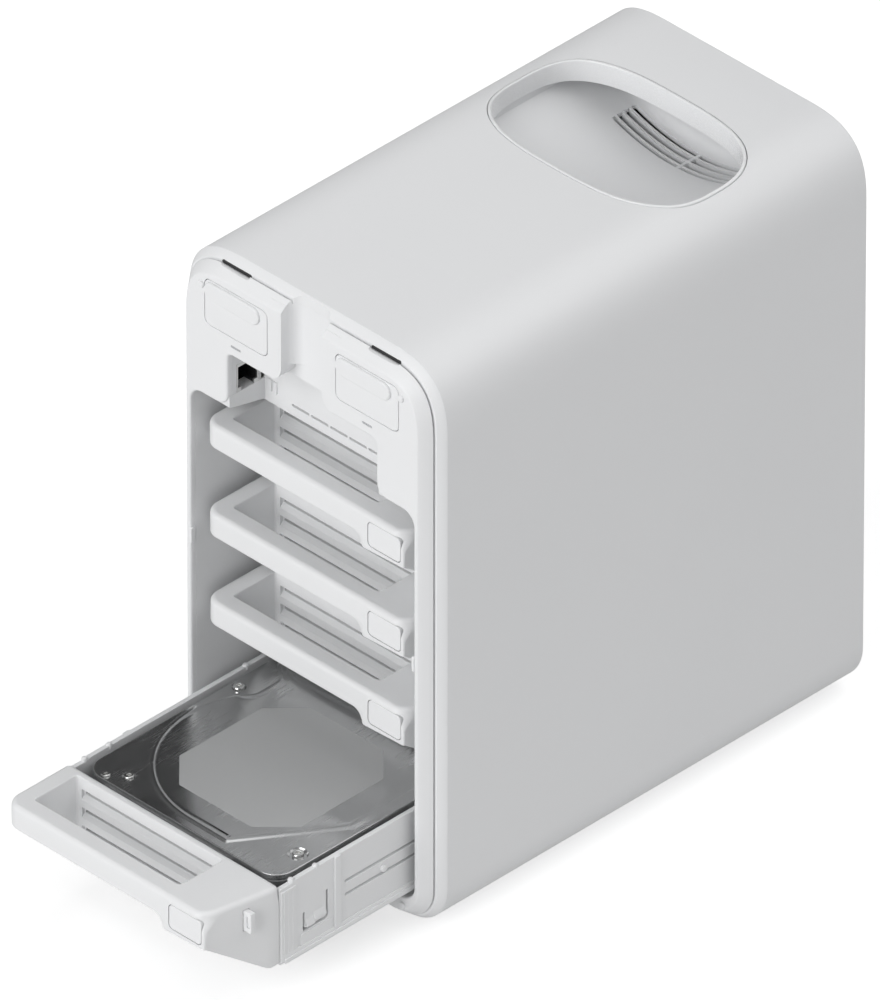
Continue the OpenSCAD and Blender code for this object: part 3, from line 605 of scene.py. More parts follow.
def finish(name):
    """The finish of a material slot, made once from the scene's colours."""
    if not FINISHES:
        tone = bpy.context.scene.enclosure_colours
        steel = (0.56, 0.57, 0.58)
        FINISHES.update({
            "shell_plastic": shell_paint("shell_paint", tone.shell),
            "front_plastic": moulded_plastic("front_plastic", tone.front),
            "tray_plastic": moulded_plastic("tray_plastic", tone.tray, 0.40),
            "inner_plastic": moulded_plastic("inner_plastic", tone.inner, 0.50),
            "trim_gloss": moulded_plastic("trim_gloss", tone.front, 0.26, depth=0.000001, specular=0.6),
            "port_metal": rolled_metal("nickel_shield", (0.62, 0.62, 0.61), 0.30, 0.04, (0.05, 1, 1), 1800),
            "contact_gold": rolled_metal("contact_gold", (0.83, 0.62, 0.28), 0.22, 0.05),
            "steel": rolled_metal("zinc_steel", steel, 0.38, 0.08, (1, 1, 0.05), 900, 0.000004),
            "bright_steel": rolled_metal("bright_screw", (0.74, 0.74, 0.73), 0.14, 0.04, (1, 1, 0.1), 3000),
            "spring_steel": rolled_metal("spring_steel", (0.50, 0.50, 0.50), 0.20, 0.05),
            "circuit_board": circuit_board("circuit_board", tone.board),
            "black_plastic": moulded_plastic("black_plastic", tone.black, 0.45, 0.0004, 0.00001, 0.15),
            "lens_glass": dark_glass("smoked_glass", tone.black),
            "light_pipe": light_pipe("frosted_light_pipe"),
            "rubber": moulded_plastic("foot_rubber", tone.rubber, 0.75, 0.0006, 0.00004, 0.12, 0.3),
            "drive_casting": cast_metal("drive_casting", tone.casting),
            "drive_lid": rolled_metal("drive_lid", tone.lid, 0.24, 0.015, depth=0.0000004),
            "label": blank_label("blank_label", tone.label),
        })
    return FINISHES[name]


# ---- Operators, one for each piece or group of like pieces ----


class ENCLOSURE_OT_stage(bpy.types.Operator):
    """Floor, soft studio light and the camera"""

    bl_idname = "enclosure.stage"
    bl_label = "Stage"

    def execute(self, context):
        self.floor()
        self.surroundings(context.scene)
        self.lamp("top_soft", (0.28, 0.42, 0.86), 1.55, 80)
        self.lamp("front_fill", (0.0, -0.90, 0.44), 2.05, 50)
        self.camera(context.scene)
        context.scene.view_settings.view_transform = "Standard"
        return {"FINISHED"}

    def floor(self):
        """One pale sheet that shows only soft shadows and a faint sheen."""
        half = 6000
        sheet = np.array([[-half, -half, 0], [half, -half, 0], [half, half, 0], [-half, half, 0]], float)
        mesh = bpy.data.meshes.new("floor")
        mesh.from_pydata((sheet * MM).tolist(), [], [[0, 1, 2, 3]])
        mat, tree, shader = new_material("floor_paper")
        wide = noise(tree, object_coords(tree), 3, 2.0)
        tree.links.new(tinted(tree, wide, (0.60, 0.60, 0.60), 0.004), shader.inputs["Base Color"])
        shader.inputs["Roughness"].default_value = 0.45
        shader.inputs["Specular IOR Level"].default_value = 0.1
        shader.inputs["Emission Color"].default_value = (1, 1, 1, 1)
        seen = place(tree, "ShaderNodeLightPath").outputs["Is Camera Ray"]
        tree.links.new(ranged(tree, seen, 0, 1, 0.15, 0.60), shader.inputs["Emission Strength"])
        mesh.materials.append(mat)
        floor = bpy.data.objects.new("floor", mesh)
        bpy.context.collection.objects.link(floor)

    def surroundings(self, scene):
        """A pale room, darker in one direction so that bright metal has something to mirror."""
        world = bpy.data.worlds.new("studio")
        scene.world = world
        world.use_nodes = True
        tree = world.node_tree
        tree.nodes.clear()
        way = place(tree, "ShaderNodeTexCoord").outputs["Generated"]
        facing = place(
            tree, "ShaderNodeVectorMath", {0: way, 1: (-0.577, 0.577, 0.577)}, operation="DOT_PRODUCT"
        ).outputs["Value"]
        strength = ranged(tree, facing, 0.80, 0.95, 0.22, 0.05)
        back = place(tree, "ShaderNodeBackground", {"Color": (0.985, 0.992, 1.0, 1), "Strength": strength})
        out = tree.nodes.new("ShaderNodeOutputWorld")
        tree.links.new(back.outputs[0], out.inputs["Surface"])

    def lamp(self, name, towards, strength, angle):
        """A broad distant light that comes from a direction."""
        light = bpy.data.lights.new(name, "SUN")
        light.energy = strength
        light.angle = np.radians(angle)
        ob = bpy.data.objects.new(name, light)
        ob.rotation_mode = "QUATERNION"
        ob.rotation_quaternion = Vector(towards).to_track_quat("Z", "Y")
        bpy.context.collection.objects.link(ob)

    def camera(self, scene):
        """A long lens on the body's diagonal, set back far enough for a fixed scale."""
        lens = scene.enclosure_sizes.camera_lens
        data = bpy.data.cameras.new("camera")
        data.lens, data.sensor_width = lens, 36
        data.clip_start, data.clip_end = 0.5, 100
        distance = lens / 36 * IMAGE_H / POINTS_PER_MM * MM
        back = Vector((1, -1, 1)).normalized()
        ob = bpy.data.objects.new("camera", data)
        ob.location = Vector(AIM) + back * distance
        ob.rotation_mode = "QUATERNION"
        ob.rotation_quaternion = back.to_track_quat("Z", "Y")
        bpy.context.collection.objects.link(ob)
        scene.camera = ob


def notch_cutters(grow=0.0):
    """The cable notch: an upright prism with straight sides and round inner corners, and a prism along Y
    whose two quarter rounds open it onto the recess's top."""
    w, back, low, high, flare = NOTCH_HALF + grow, NOTCH_BACK + grow, RECESS_TOP - 1, Z_TOP + 8, 7.0
    plan = rounded([[-w, Y_FRONT - 6], [w, Y_FRONT - 6], [w, back], [-w, back]], [0, 0, 5.5, 5.5], 8)
    t = np.radians(np.linspace(0, 90, 9))[:, None]
    side = np.concatenate([w + flare * (1 - np.sin(t)), RECESS_TOP + flare * (1 - np.cos(t))], 1)
    mouth = np.concatenate([[[-w - flare, low], [w + flare, low]], side, (side * [-1, 1])[::-1]])
    return [walls([(plan, [[0, RECESS_TOP + flare - 0.5], [0, high]])], "xy"),
            slab([mouth], Y_FRONT - 6, back - 0.01, 0, 0)]


def air_slots(near, far, inset=0.0):
    """Two short slots in the upper bevel between two planes, or what fills them, a little smaller: dark bars
    that are painted shade for the inside of the slots.
    """
    half, low, high = 7.7 - 2 * inset, Z_TOP - 4.3 + inset, Z_TOP - 2.9 - inset
    return [slab([rect(s * 39 - half, low, s * 39 + half, high, 0.65 - inset, 4)], near, far, 0, 0)
            for s in (-1, 1)]


class ENCLOSURE_OT_shell(bpy.types.Operator):
    """The painted shell and the trim ring round its front"""

    bl_idname = "enclosure.shell"
    bl_label = "Shell and trim ring"

    def execute(self, context):
        sizes = context.scene.enclosure_sizes
        loop = body_outline()
        section = rounded(
            [[0, Y_LIP], [0, Y_BACK], [WALL, Y_BACK], [WALL, Y_LIP]],
            [0.15, sizes.back_edge / MM, 0.2, 0.4], 6)
        opening = walls([(offset(handle_outline(), -1.75), [[0, Z_TOP - 14], [0, Z_TOP + 5]])], "xy")
        slots = [slab([rect(x - 3, 60, x + 3, 92, 2.9)], -2, 8, 0, 0, "xy") for x in range(-28, 29, 14)]
        shell = cut(carried(section, loop), [opening, *slots])
        piece("shell", [shell], finish("shell_plastic"), "enclosure", ["outer_shell"], 30)

        ring = rounded(
            [[0, Y_LIP], [BEVEL_IN * 3.1 / BEVEL_OUT, Y_RING], [4.9, Y_RING], [4.9, Y_LIP + 5],
             [WALL + 0.1, Y_LIP + 5], [WALL + 0.1, Y_LIP]],
            [0.1, 0.35, 0.2, 0.2, 0.2, 0.1], 4)
        trim = cut(carried(ring, loop), [*notch_cutters(), *air_slots(Y_FRONT - 3, Y_LIP + 1)])
        piece("trim_ring", [trim], finish("front_plastic"), "enclosure", ["shell_trim_ring"])
        return {"FINISHED"}


class ENCLOSURE_OT_front(bpy.types.Operator):
    """The front surround with its bay opening, door openings, cable notch and air slots"""

    bl_idname = "enclosure.front"
    bl_label = "Front surround"

    def execute(self, context):
        edge = context.scene.enclosure_sizes.frame_edge / MM
        small = context.scene.enclosure_sizes.part_edge / MM
        parts = [self.surround(edge, small), self.notch_wall()]
        clip = slab([rect(121.6, Y_FRONT - 0.4, 128.4, Y_FRONT + 1.6, 0.7)], 57.7, 58.9, 0.3, 0.3, "xy")
        clip = (clip[0][:, [2, 1, 0]], clip[1])
        parts += [clip, mirrored(clip)]
        piece("front_surround", parts, finish("front_plastic"), "enclosure", ["bay_frame"])
        self.studs()
        self.lights()
        # Painted shade: black bars set into the two air slots so that they read dark, in place of the shade
        # inside the slots
        bars = air_slots(Y_RING - 0.3, Y_LIP + 0.8, 0.05)
        piece("air_slot_shade_bars", bars, finish("black_plastic"), "enclosure")
        return {"FINISHED"}

    def surround(self, edge, small):
        """The plate between the outer bevel and the openings, cut by the notch and the two air slots."""
        w, t, r, top = BAY_HALF, BAY_TOP, RECESS_HALF, RECESS_TOP
        window = hole(rounded(
            [[-w, BAY_FLOOR], [w, BAY_FLOOR], [w, t], [r, t], [r, top], [-r, top], [-r, t], [-w, t]],
            [7, 7, 6, 5.5, 3, 3, 5.5, 6], 8))
        seam_in = BEVEL_IN * (Y_LIP - Y_SEAM) / BEVEL_OUT
        outer = rounded(
            [[12, Y_FRONT], [BEVEL_IN, Y_FRONT], [seam_in, Y_SEAM], [5, Y_SEAM], [5, Y_SKIRT], [7.3, Y_SKIRT],
             [7.3, Y_PLATE], [12, Y_PLATE]],
            [0, 1.1, 0.3, 0, 0, 0, 0, 0], 4)[:-1]
        outer = np.concatenate([[[7.8, Y_FRONT]], outer[1:], [[7.8, Y_PLATE]]])
        inner = edge_rows(Y_FRONT, Y_PLATE, edge, 0.2)
        loops = [(body_outline(), outer), (window, inner)]
        for s in (-1, 1):
            door = rect(s * DOOR_X - DOOR_W / 2 - 0.3, DOOR_Z0 - 0.3, s * DOOR_X + DOOR_W / 2 + 0.3,
                        DOOR_Z1 + 0.3, 3.0)
            lamp = rect(s * 34.3 - 2.6, 220.8, s * 34.3 + 2.6, 221.8, 0.45, 3)
            loops += [(hole(door), edge_rows(Y_FRONT, Y_PLATE, small * 0.6, 0.2)),
                      (hole(lamp), edge_rows(Y_FRONT, Y_PLATE, 0.1, 0.1))]
        return cut(walls(loops, "xz"), [*notch_cutters(), *air_slots(Y_FRONT - 3, Y_SKIRT - 3)])

    def notch_wall(self):
        """The web behind the notch: a block under the roof of the surround with the notch cut down it."""
        front, back, low, step = Y_PLATE - 0.3, Y_LIP + 3.4, RECESS_TOP - 0.02, Z_TOP - 4.85
        web = np.array([[front, low], [back, low], [back, Z_TOP - 2.7], [Y_RING - 0.1, Z_TOP - 2.7],
                        [Y_RING - 0.1, step], [front, step]])
        return cut(slab([web], -18.4, 18.4, 0, 0, "yz"), notch_cutters(0.05))

    def studs(self):
        """Low round studs that an outer cover would snap to."""
        rows = [[0.1, -0.9], [1.0, -0.9], [1.35, -0.8], [1.5, -0.5], [1.5, 0.6], [0.1, 0.6]]
        studs = [turned(rows, (s * x, Y_FRONT, z), "y")
                 for x, z in ((52.2, 242.0), (52.9, 12.6)) for s in (-1, 1)]
        piece("cover_studs_round", studs, finish("front_plastic"), "enclosure",
              ["cover_studs"])

    def lights(self):
        """A frosted bar in each status slot."""
        outlines = [rect(s * 34.3 - 2.5, 220.9, s * 34.3 + 2.5, 221.7, 0.38, 3) for s in (-1, 1)]
        bars = [slab([loop], Y_FRONT + 0.12, Y_PLATE + 6, 0.1, 0.1) for loop in outlines]
        piece("status_lights", bars, finish("light_pipe"), "enclosure", ["status_light_pipes"])


class ENCLOSURE_OT_ports(bpy.types.Operator):
    """The port recess with its network jack and power port"""

    bl_idname = "enclosure.ports"
    bl_label = "Port recess"

    def execute(self, context):
        self.recess()
        self.jack()
        self.power_port()
        return {"FINISHED"}

    def recess(self):
        """One skin that runs from the bay's ceiling up the recess's side, over its top and down again,
        a back wall with air slots, and fins that carry the sides down to it."""
        w, t, r, top, skin = BAY_HALF - 0.4, BAY_TOP, RECESS_HALF, RECESS_TOP, 1.7
        path = rounded(
            [[w, t], [r, t], [r, top], [-r, top], [-r, t], [-w, t], [-w, t + skin],
             [-r - skin, t + skin], [-r - skin, top + skin], [r + skin, top + skin], [r + skin, t + skin],
             [w, t + skin]],
            [0, 5.5, 3, 3, 5.5, 0, 0, 3.8, 4.7, 4.7, 3.8, 0], 8)
        skin_part = slab([path[::-1] if area(path) < 0 else path], Y_PLATE - 0.02, Y_HOUSING, 0, 0)
        mouths = [slab([rect(-111.3, 193.9, -99.1, 209.3, 0.5, 3)], -45, -35, 0, 0, "yz"),
                  slab([rect(-98.7, 196.3, -96.3, 206.1, 1.1, 4)], -45, -35, 0, 0, "yz")]
        gap = walls([(rect(-18.2, Y_PLATE - 4, 18.2, Y_LIP + 3.2), [[0, top - 1], [0, top + 4]])], "xy")
        parts = [cut(skin_part, [*mouths, gap]), self.liner()]
        foot = 186.3
        slots = [hole(rect(-25 + i * 10, 190.2, -15.9 + i * 10, 191.3, 0.5, 4)) for i in range(7)]
        parts.append(slab([rect(-r - 1, foot, r + 1, top + 1), *slots], Y_RECESS, Y_HOUSING, 0.15, 0))
        for s in (-1, 1):
            fin = rounded([[Y_PLATE - 1.5, t + 4], [Y_PLATE - 1.5, t - 0.9], [Y_PLATE + 3, t - 2.2],
                           [Y_HOUSING, foot], [Y_HOUSING, t + 4]], [0, 0.6, 3, 0.3, 0], 3)
            parts.append(slab([fin], s * (r + 5.8), s * (r + 0.02), 0.1, 0.1, "yz"))
        # Two low grips moulded on the back wall near the jack
        for x in (-36.15, -33.45):
            grip = rect(x - 0.95, 191.8, x + 0.95, 197, 0.3, 3)
            parts.append(slab([grip], Y_RECESS - 0.7, Y_RECESS + 0.5, 0.3, 0))
        piece("port_recess", parts, finish("inner_plastic"), "enclosure", ["port_housing"])

    def liner(self):
        """The sides and floor of the bay's mouth, from the front plate back to the cage."""
        w, t, low, out = BAY_HALF - 0.05, BAY_TOP, BAY_FLOOR, 1.2
        section = rounded(
            [[-w - out, t], [-w - out, low - out], [w + out, low - out], [w + out, t], [w, t], [w, low],
             [-w, low], [-w, t]],
            [0, 8.2, 8.2, 0, 0, 7, 7, 0], 6)
        return slab([section], Y_PLATE - 0.02, Y_SKIRT + 0.2, 0, 0)

    def jack(self):
        """A shielded eight-way jack: a folded metal face round a stepped mouth, a dark insert, contacts."""
        face = -RECESS_HALF - 0.4
        outline = rect(-111.1, 194.1, -99.3, 209.1, 0.6, 3)
        mouth = rounded(
            [[-110.2, 198.3], [-108.5, 198.3], [-108.5, 196.2], [-106.9, 196.2], [-106.9, 195.1],
             [-103.5, 195.1], [-103.5, 196.2], [-101.9, 196.2], [-101.9, 198.3], [-100.2, 198.3],
             [-100.2, 207.6], [-110.2, 207.6]], 0.15, 2)
        shield = slab([outline, hole(mouth)], face + 0.35, face - 0.5, 0.15, 0, "yz")
        sleeve = slab([outline, hole(offset(mouth, -0.3))], face - 0.5, face - 18, 0, 0.1, "yz")
        piece("jack_shield", [shield], finish("port_metal"), "enclosure", ["rj45_jack"])
        plug_wall = slab([rect(-110.8, 194.4, -99.6, 208.8, 0.3, 2)], face - 9.5, face - 18.4, 0.1, 0.1, "yz")
        piece("jack_insert", [sleeve, plug_wall], finish("black_plastic"), "enclosure")
        starts = [-109.1 + i * 1.1 for i in range(8)]
        wires = [slab([rect(y, 206.5, y + 0.4, 206.9)], face - 1.6, face - 9.4, 0.1, 0.1, "yz")
                 for y in starts]
        piece("jack_contacts", wires, finish("contact_gold"), "enclosure")

    def power_port(self):
        """A small reversible socket: a drawn metal shell round a thin tongue."""
        face = -RECESS_HALF - 0.3
        shell = rect(-98.55, 196.5, -96.45, 205.9, 1.0, 6)
        tube = slab([shell, hole(offset(shell, 0.28))], face + 0.2, face - 7.5, 0.04, 0, "yz")
        piece("power_port_shell", [tube], finish("port_metal"), "enclosure", ["usb_c_port"])
        tongue = slab([rect(-97.75, 197.9, -97.25, 204.5, 0.2, 2)], face - 0.8, face - 7.4, 0.1, 0, "yz")
        back = slab([offset(shell, 0.3)], face - 6.4, face - 7.4, 0, 0, "yz")
        piece("power_port_tongue", [tongue, back], finish("black_plastic"), "enclosure")


def area(loop):
    """Signed area of a closed outline: half the sum of its cross products."""
    x, y = loop[:, 0], loop[:, 1]
    return 0.5 * (x * np.roll(y, -1) - y * np.roll(x, -1)).sum()


class ENCLOSURE_OT_handle(bpy.types.Operator):
    """The carrying handle in the top: trim ring, bowl and air fins"""

    bl_idname = "enclosure.handle"
    bl_label = "Top handle"

    def execute(self, context):
        self.ring()
        self.bowl()
        self.fins()
        return {"FINISHED"}

    def ring(self):
        """A thin lip that follows the shell's roof, with the straight collar below it. Its section is
        carried round the superellipse, each point's height measured down from the roof."""
        loop = handle_outline()
        section = rounded(
            [[-1.45, -1.0], [-1.45, 0.28], [0.0, 0.28], [0.0, -COLLAR_D], [-1.45, -COLLAR_D]],
            [0, 0.5, 0.55, 0.1, 0.1], 4)
        rings = []
        for d, h in section:
            at = offset(loop, d)
            z = roof(at[:, 0]) + h if h > -2 else np.full(len(at), Z_TOP + h)
            rings.append(np.column_stack([at, z]))
        piece("handle_ring", [grid(rings, wrap_rows=True)], finish("trim_gloss"), "enclosure",
              ["handle_trim_ring"])

    def bowl(self):
        """A hollow whose floor is an arc about an axis along Y, with upright ends and rounded long
        sides: rows along X of one section in Y, then a skin on its outside."""
        fillet, lip = 5.0, Z_TOP - COLLAR_D
        t = np.linspace(0, np.pi / 2, 9)
        y0, y1 = BOWL_Y0, BOWL_Y1
        flat = np.linspace(y0 + fillet, y1 - fillet, 30)[1:-1]
        y = np.concatenate([y0 + fillet * (1 - np.cos(t)), flat, (y1 - fillet * (1 - np.cos(t)))[::-1]])
        curl = fillet * (1 - np.sin(t))
        rise = np.concatenate([curl, np.zeros(len(flat)), curl[::-1]])
        x = np.linspace(-BOWL_X, BOWL_X, 61)
        floor = bowl_floor(x)[:, None] + rise[None, :] * np.ones((61, 1))
        floor = np.minimum(floor, lip)
        rim = np.full((61, 1), lip + 0.05)
        inner_y = np.concatenate([[y0], y, [y1]])
        inner_z = np.concatenate([rim, floor, rim], 1)
        under = 1.8
        outer_y = np.concatenate([[y1 + under], [y1 + under], y[::-1], [y0 - under], [y0 - under]])
        shoulder = np.minimum(bowl_floor(x)[:, None] + fillet, lip - 0.5)
        outer_z = np.concatenate([rim, shoulder, (floor - under)[:, ::-1], shoulder, rim], 1)
        ys = np.concatenate([inner_y, outer_y])
        zs = np.concatenate([inner_z, outer_z], 1)
        rings = np.stack([np.broadcast_to(x[:, None], zs.shape), np.broadcast_to(ys, zs.shape), zs], -1)
        trough = grid(rings)
        window = slab([rect(VENT_X0, VENT_Y0, VENT_X1, VENT_Y1, 0.8, 3)], 205, lip - 3, 0, 0, "xy")
        end = rect(y0 - under, BOWL_END - 4, y1 + under, lip + 0.05)
        ends = [slab([end], s * (BOWL_X - 0.05), s * (BOWL_X + under), 0, 0, "yz") for s in (-1, 1)]
        deck_loops = [rect(-59, y0 - 6, 59, y1 + 6, 3), hole(offset(handle_outline(), -1.5))]
        deck = slab(deck_loops, lip, lip + 2, 0, 0.2, "xy")
        piece("handle_bowl_skin", [cut(trough, [window]), *ends, deck], finish("shell_plastic"), "enclosure",
              ["handle_bowl"], 30)

    def fins(self):
        """Three thin fins that follow the floor's arc along the window, and one rib across them."""
        x = np.linspace(VENT_X0, VENT_X1, 36)
        parts = []
        for y in (VENT_Y0 + 1.6, VENT_Y0 + 5.4, VENT_Y0 + 9.2):
            top, low = bowl_floor(x) - 0.15, bowl_floor(x) - 7.0
            section = [[0, 0], [1.1, 0], [1.1, 1], [0, 1]]
            sides = [np.column_stack([x, np.full(36, y + a), low + (top - low) * b]) for a, b in section]
            parts.append(grid(np.stack(sides, 1)))
        rib, top = rect(2.4, VENT_Y0 - 0.1, 3.8, VENT_Y1 + 0.1), bowl_floor(3) - 0.1
        parts.append(slab([rib], top - 3.9, top, 0.1, 0.1, "xy"))
        piece("handle_fins", parts, finish("shell_plastic"), "enclosure", ["handle_louvres"])


class ENCLOSURE_OT_doors(bpy.types.Operator):
    """The two small drive doors with their pill grips, carriers and drives"""

    bl_idname = "enclosure.doors"
    bl_label = "Small drive doors"

    def execute(self, context):
        small = context.scene.enclosure_sizes.part_edge / MM
        for side, s in (("left", -1), ("right", 1)):
            low, high = corners(f"m2_tray_{side}")
            x0, x1 = s * DOOR_X - DOOR_W / 2, s * DOOR_X + DOOR_W / 2
            parts = [slab([rect(x0, DOOR_Z0, x1, DOOR_Z1, 2.7)], Y_FRONT, Y_PLATE, small * 0.6, 0.2)]
            grip = rect(x0 + 0.4, DOOR_Z1 - 8.2, x0 + 29.0, DOOR_Z1 - 0.4, 3.85, 10)
            parts.append(slab([grip], Y_FRONT - 1.2, Y_FRONT + 0.3, 0.7, 0))
            c = s * DOOR_X
            parts.append(slab([rect(c - 13, 230, c + 13, 232, 0.5)], Y_PLATE - 0.1, Y_PLATE + 2, 0, 0.2))
            plate = [rect(c - 13, Y_PLATE + 1.9, c + 13, high[1], 1), hole(rect(c - 8, -100, c + 8, -40, 3))]
            parts.append(slab(plate, 230, 231, 0.15, 0.15, "xy"))
            piece(f"small_door_{side}", parts, finish("front_plastic"), f"m2_{side}",
                  [f"m2_tray_{side}"])
            self.small_drive(side, c)
        return {"FINISHED"}

    def small_drive(self, side, c):
        """A stick drive: a board with a screw hole at its end, and three chips."""
        low, high = corners(f"m2_ssd_{side}")
        z = low[2]
        plan = [rect(c - 11, low[1], c + 11, high[1], 0.6),
                hole(rect(c - 2, low[1] + 2, c + 2, low[1] + 5, 1.9))]
        board = slab(plan, z, z + 0.8, 0.1, 0.1, "xy")
        piece(f"small_drive_board_{side}", [board], finish("circuit_board"), f"m2_{side}",
              [f"m2_ssd_{side}"])
        chips = [slab([rect(c - w, low[1] + y, c + w, low[1] + y + d, 0.4)], z + 0.8, z + 2.0, 0, 0.15, "xy")
                 for w, y, d in ((8, 12, 15), (8, 34, 15), (6, 56, 12))]
        piece(f"small_drive_chips_{side}", chips, finish("black_plastic"), f"m2_{side}")


def tray_depth(x, y):
    """How deep a tray handle reaches at a point of its plan: the bar's height, a quarter round of 5 mm
    and a short step down to the button's block, then a straight slope to the full height at the back."""
    u = np.clip((x - 23.2) / 5, 0, 1)
    base = BAR_H + 5 * (1 - np.sqrt(1 - u**2))
    base = base + np.interp(x, [28.2, 28.8, 49, 56], [0, BLOCK_H - BAR_H - 5, BLOCK_H - BAR_H - 5.9, 0])
    start = np.interp(x, [23.2, 28.8], [BAR_T, 1.0])
    sweep = np.clip((y - start) / (28.8 - start), 0, 1)
    inside = smooth((x - POCKET_X0) / 3) * smooth((POCKET_X1 - x) / 3) * smooth((y - 26) / 4)
    return base + (BEZEL_H - base) * np.maximum(sweep, inside)


def ring_loop(x0, y0, x1, y1, radii, counts, breaks, shares):
    """A round-cornered rectangle in plan, anticlockwise from the front left, with set counts of points
    on its sides and corners, so that two such loops can be joined point to point. The front side is shared
    out between the breaks along it."""
    fr, rr, rl, fl = radii
    sides = [([x0 + fl, y0], [x1 - fr, y0]), ([x1, y0 + fr], [x1, y1 - rr]), ([x1 - rr, y1], [x0 + rl, y1]),
             ([x0, y1 - rl], [x0, y0 + fl])]
    centres = [((x1 - fr, y0 + fr), fr, -90), ((x1 - rr, y1 - rr), rr, 0), ((x0 + rl, y1 - rl), rl, 90),
               ((x0 + fl, y0 + fl), fl, 180)]
    out = []
    for k, (start, end) in enumerate(sides):
        t = np.linspace(0, 1, counts[2 * k] + 1)[:-1, None]
        run = np.array(start) * (1 - t) + np.array(end) * t
        if k == 0:
            stops = [start[0], *breaks, end[0]]
            xs = [np.linspace(a, b, n + 1)[:-1] for a, b, n in zip(stops, stops[1:], shares)]
            run = np.column_stack([np.concatenate(xs), np.full(counts[0], y0)])
        (cx, cy), r, a0 = centres[k]
        a = np.radians(a0 + 90 * np.linspace(0, 1, counts[2 * k + 1] + 1)[:-1, None])
        out += [run, np.array([[cx, cy]]) + r * np.concatenate([np.cos(a), np.sin(a)], 1)]
    return np.concatenate(out)


def tray_body(top_r):
    """A tray handle as one ring: its section runs over the top, down the outside, along the underside
    at tray_depth, and up the finger pocket, with a round at each turn. The right side leans in towards
    the front, and the front right corner sharpens below the top."""

    def outline(t):
        corner, rear = 7 - 6 * smooth(t), 2.2 - 1.4 * smooth(t)
        loop = ring_loop(-TRAY_HALF, 0, TRAY_HALF, BEZEL_D, (corner, rear, rear, 7),
                         (60, 12, 18, 8, 34, 8, 18, 12), (22, 29.2), (44, 12, 4))
        side = np.interp(loop[:, 1], [0, 5.4, 30.1, BEZEL_D], [50.1, 50.8, TRAY_HALF, TRAY_HALF])
        lean = np.clip((loop[:, 0] - 29.2) / (TRAY_HALF - 29.2), 0, 1) * (TRAY_HALF - side)
        return loop - np.column_stack([lean, 0 * lean])

    outer, sharp = outline(0), outline(1)
    inner = ring_loop(POCKET_X0, BAR_T, POCKET_X1, POCKET_Y1, (2.2, 1, 1, 1.2),
                      (50, 22, 18, 8, 34, 8, 18, 12), (22,), (44, 6))
    low_r, in_r = 0.7, 0.5

    def level(loop, d, height):
        return np.column_stack([offset(loop, d), np.full(len(loop), height)])

    def under(loop, d, rise):
        at = offset(loop, d)
        return np.column_stack([at, rise - tray_depth(at[:, 0], at[:, 1])])

    rings = [level(inner, -in_r - 0.06, 0), level(outer, top_r + 0.06, 0)]
    rings += [level(outer, d, -h) for d, h in quarter(top_r, 6)]
    rings += [level(outline(t), 0, -top_r - t * (9 - top_r)) for t in (0.25, 0.5, 0.75, 1)]
    rings += [under(sharp, d, h) for d, h in quarter(low_r)[::-1]]
    rings += [under(sharp, low_r + 0.06, 0), under(inner, -low_r - 0.06, 0)]
    rings += [under(inner, -d, h) for d, h in quarter(low_r)]
    rings += [level(inner, -d, -h) for d, h in quarter(in_r)[::-1]]
    return grid(rings, wrap_rows=True)


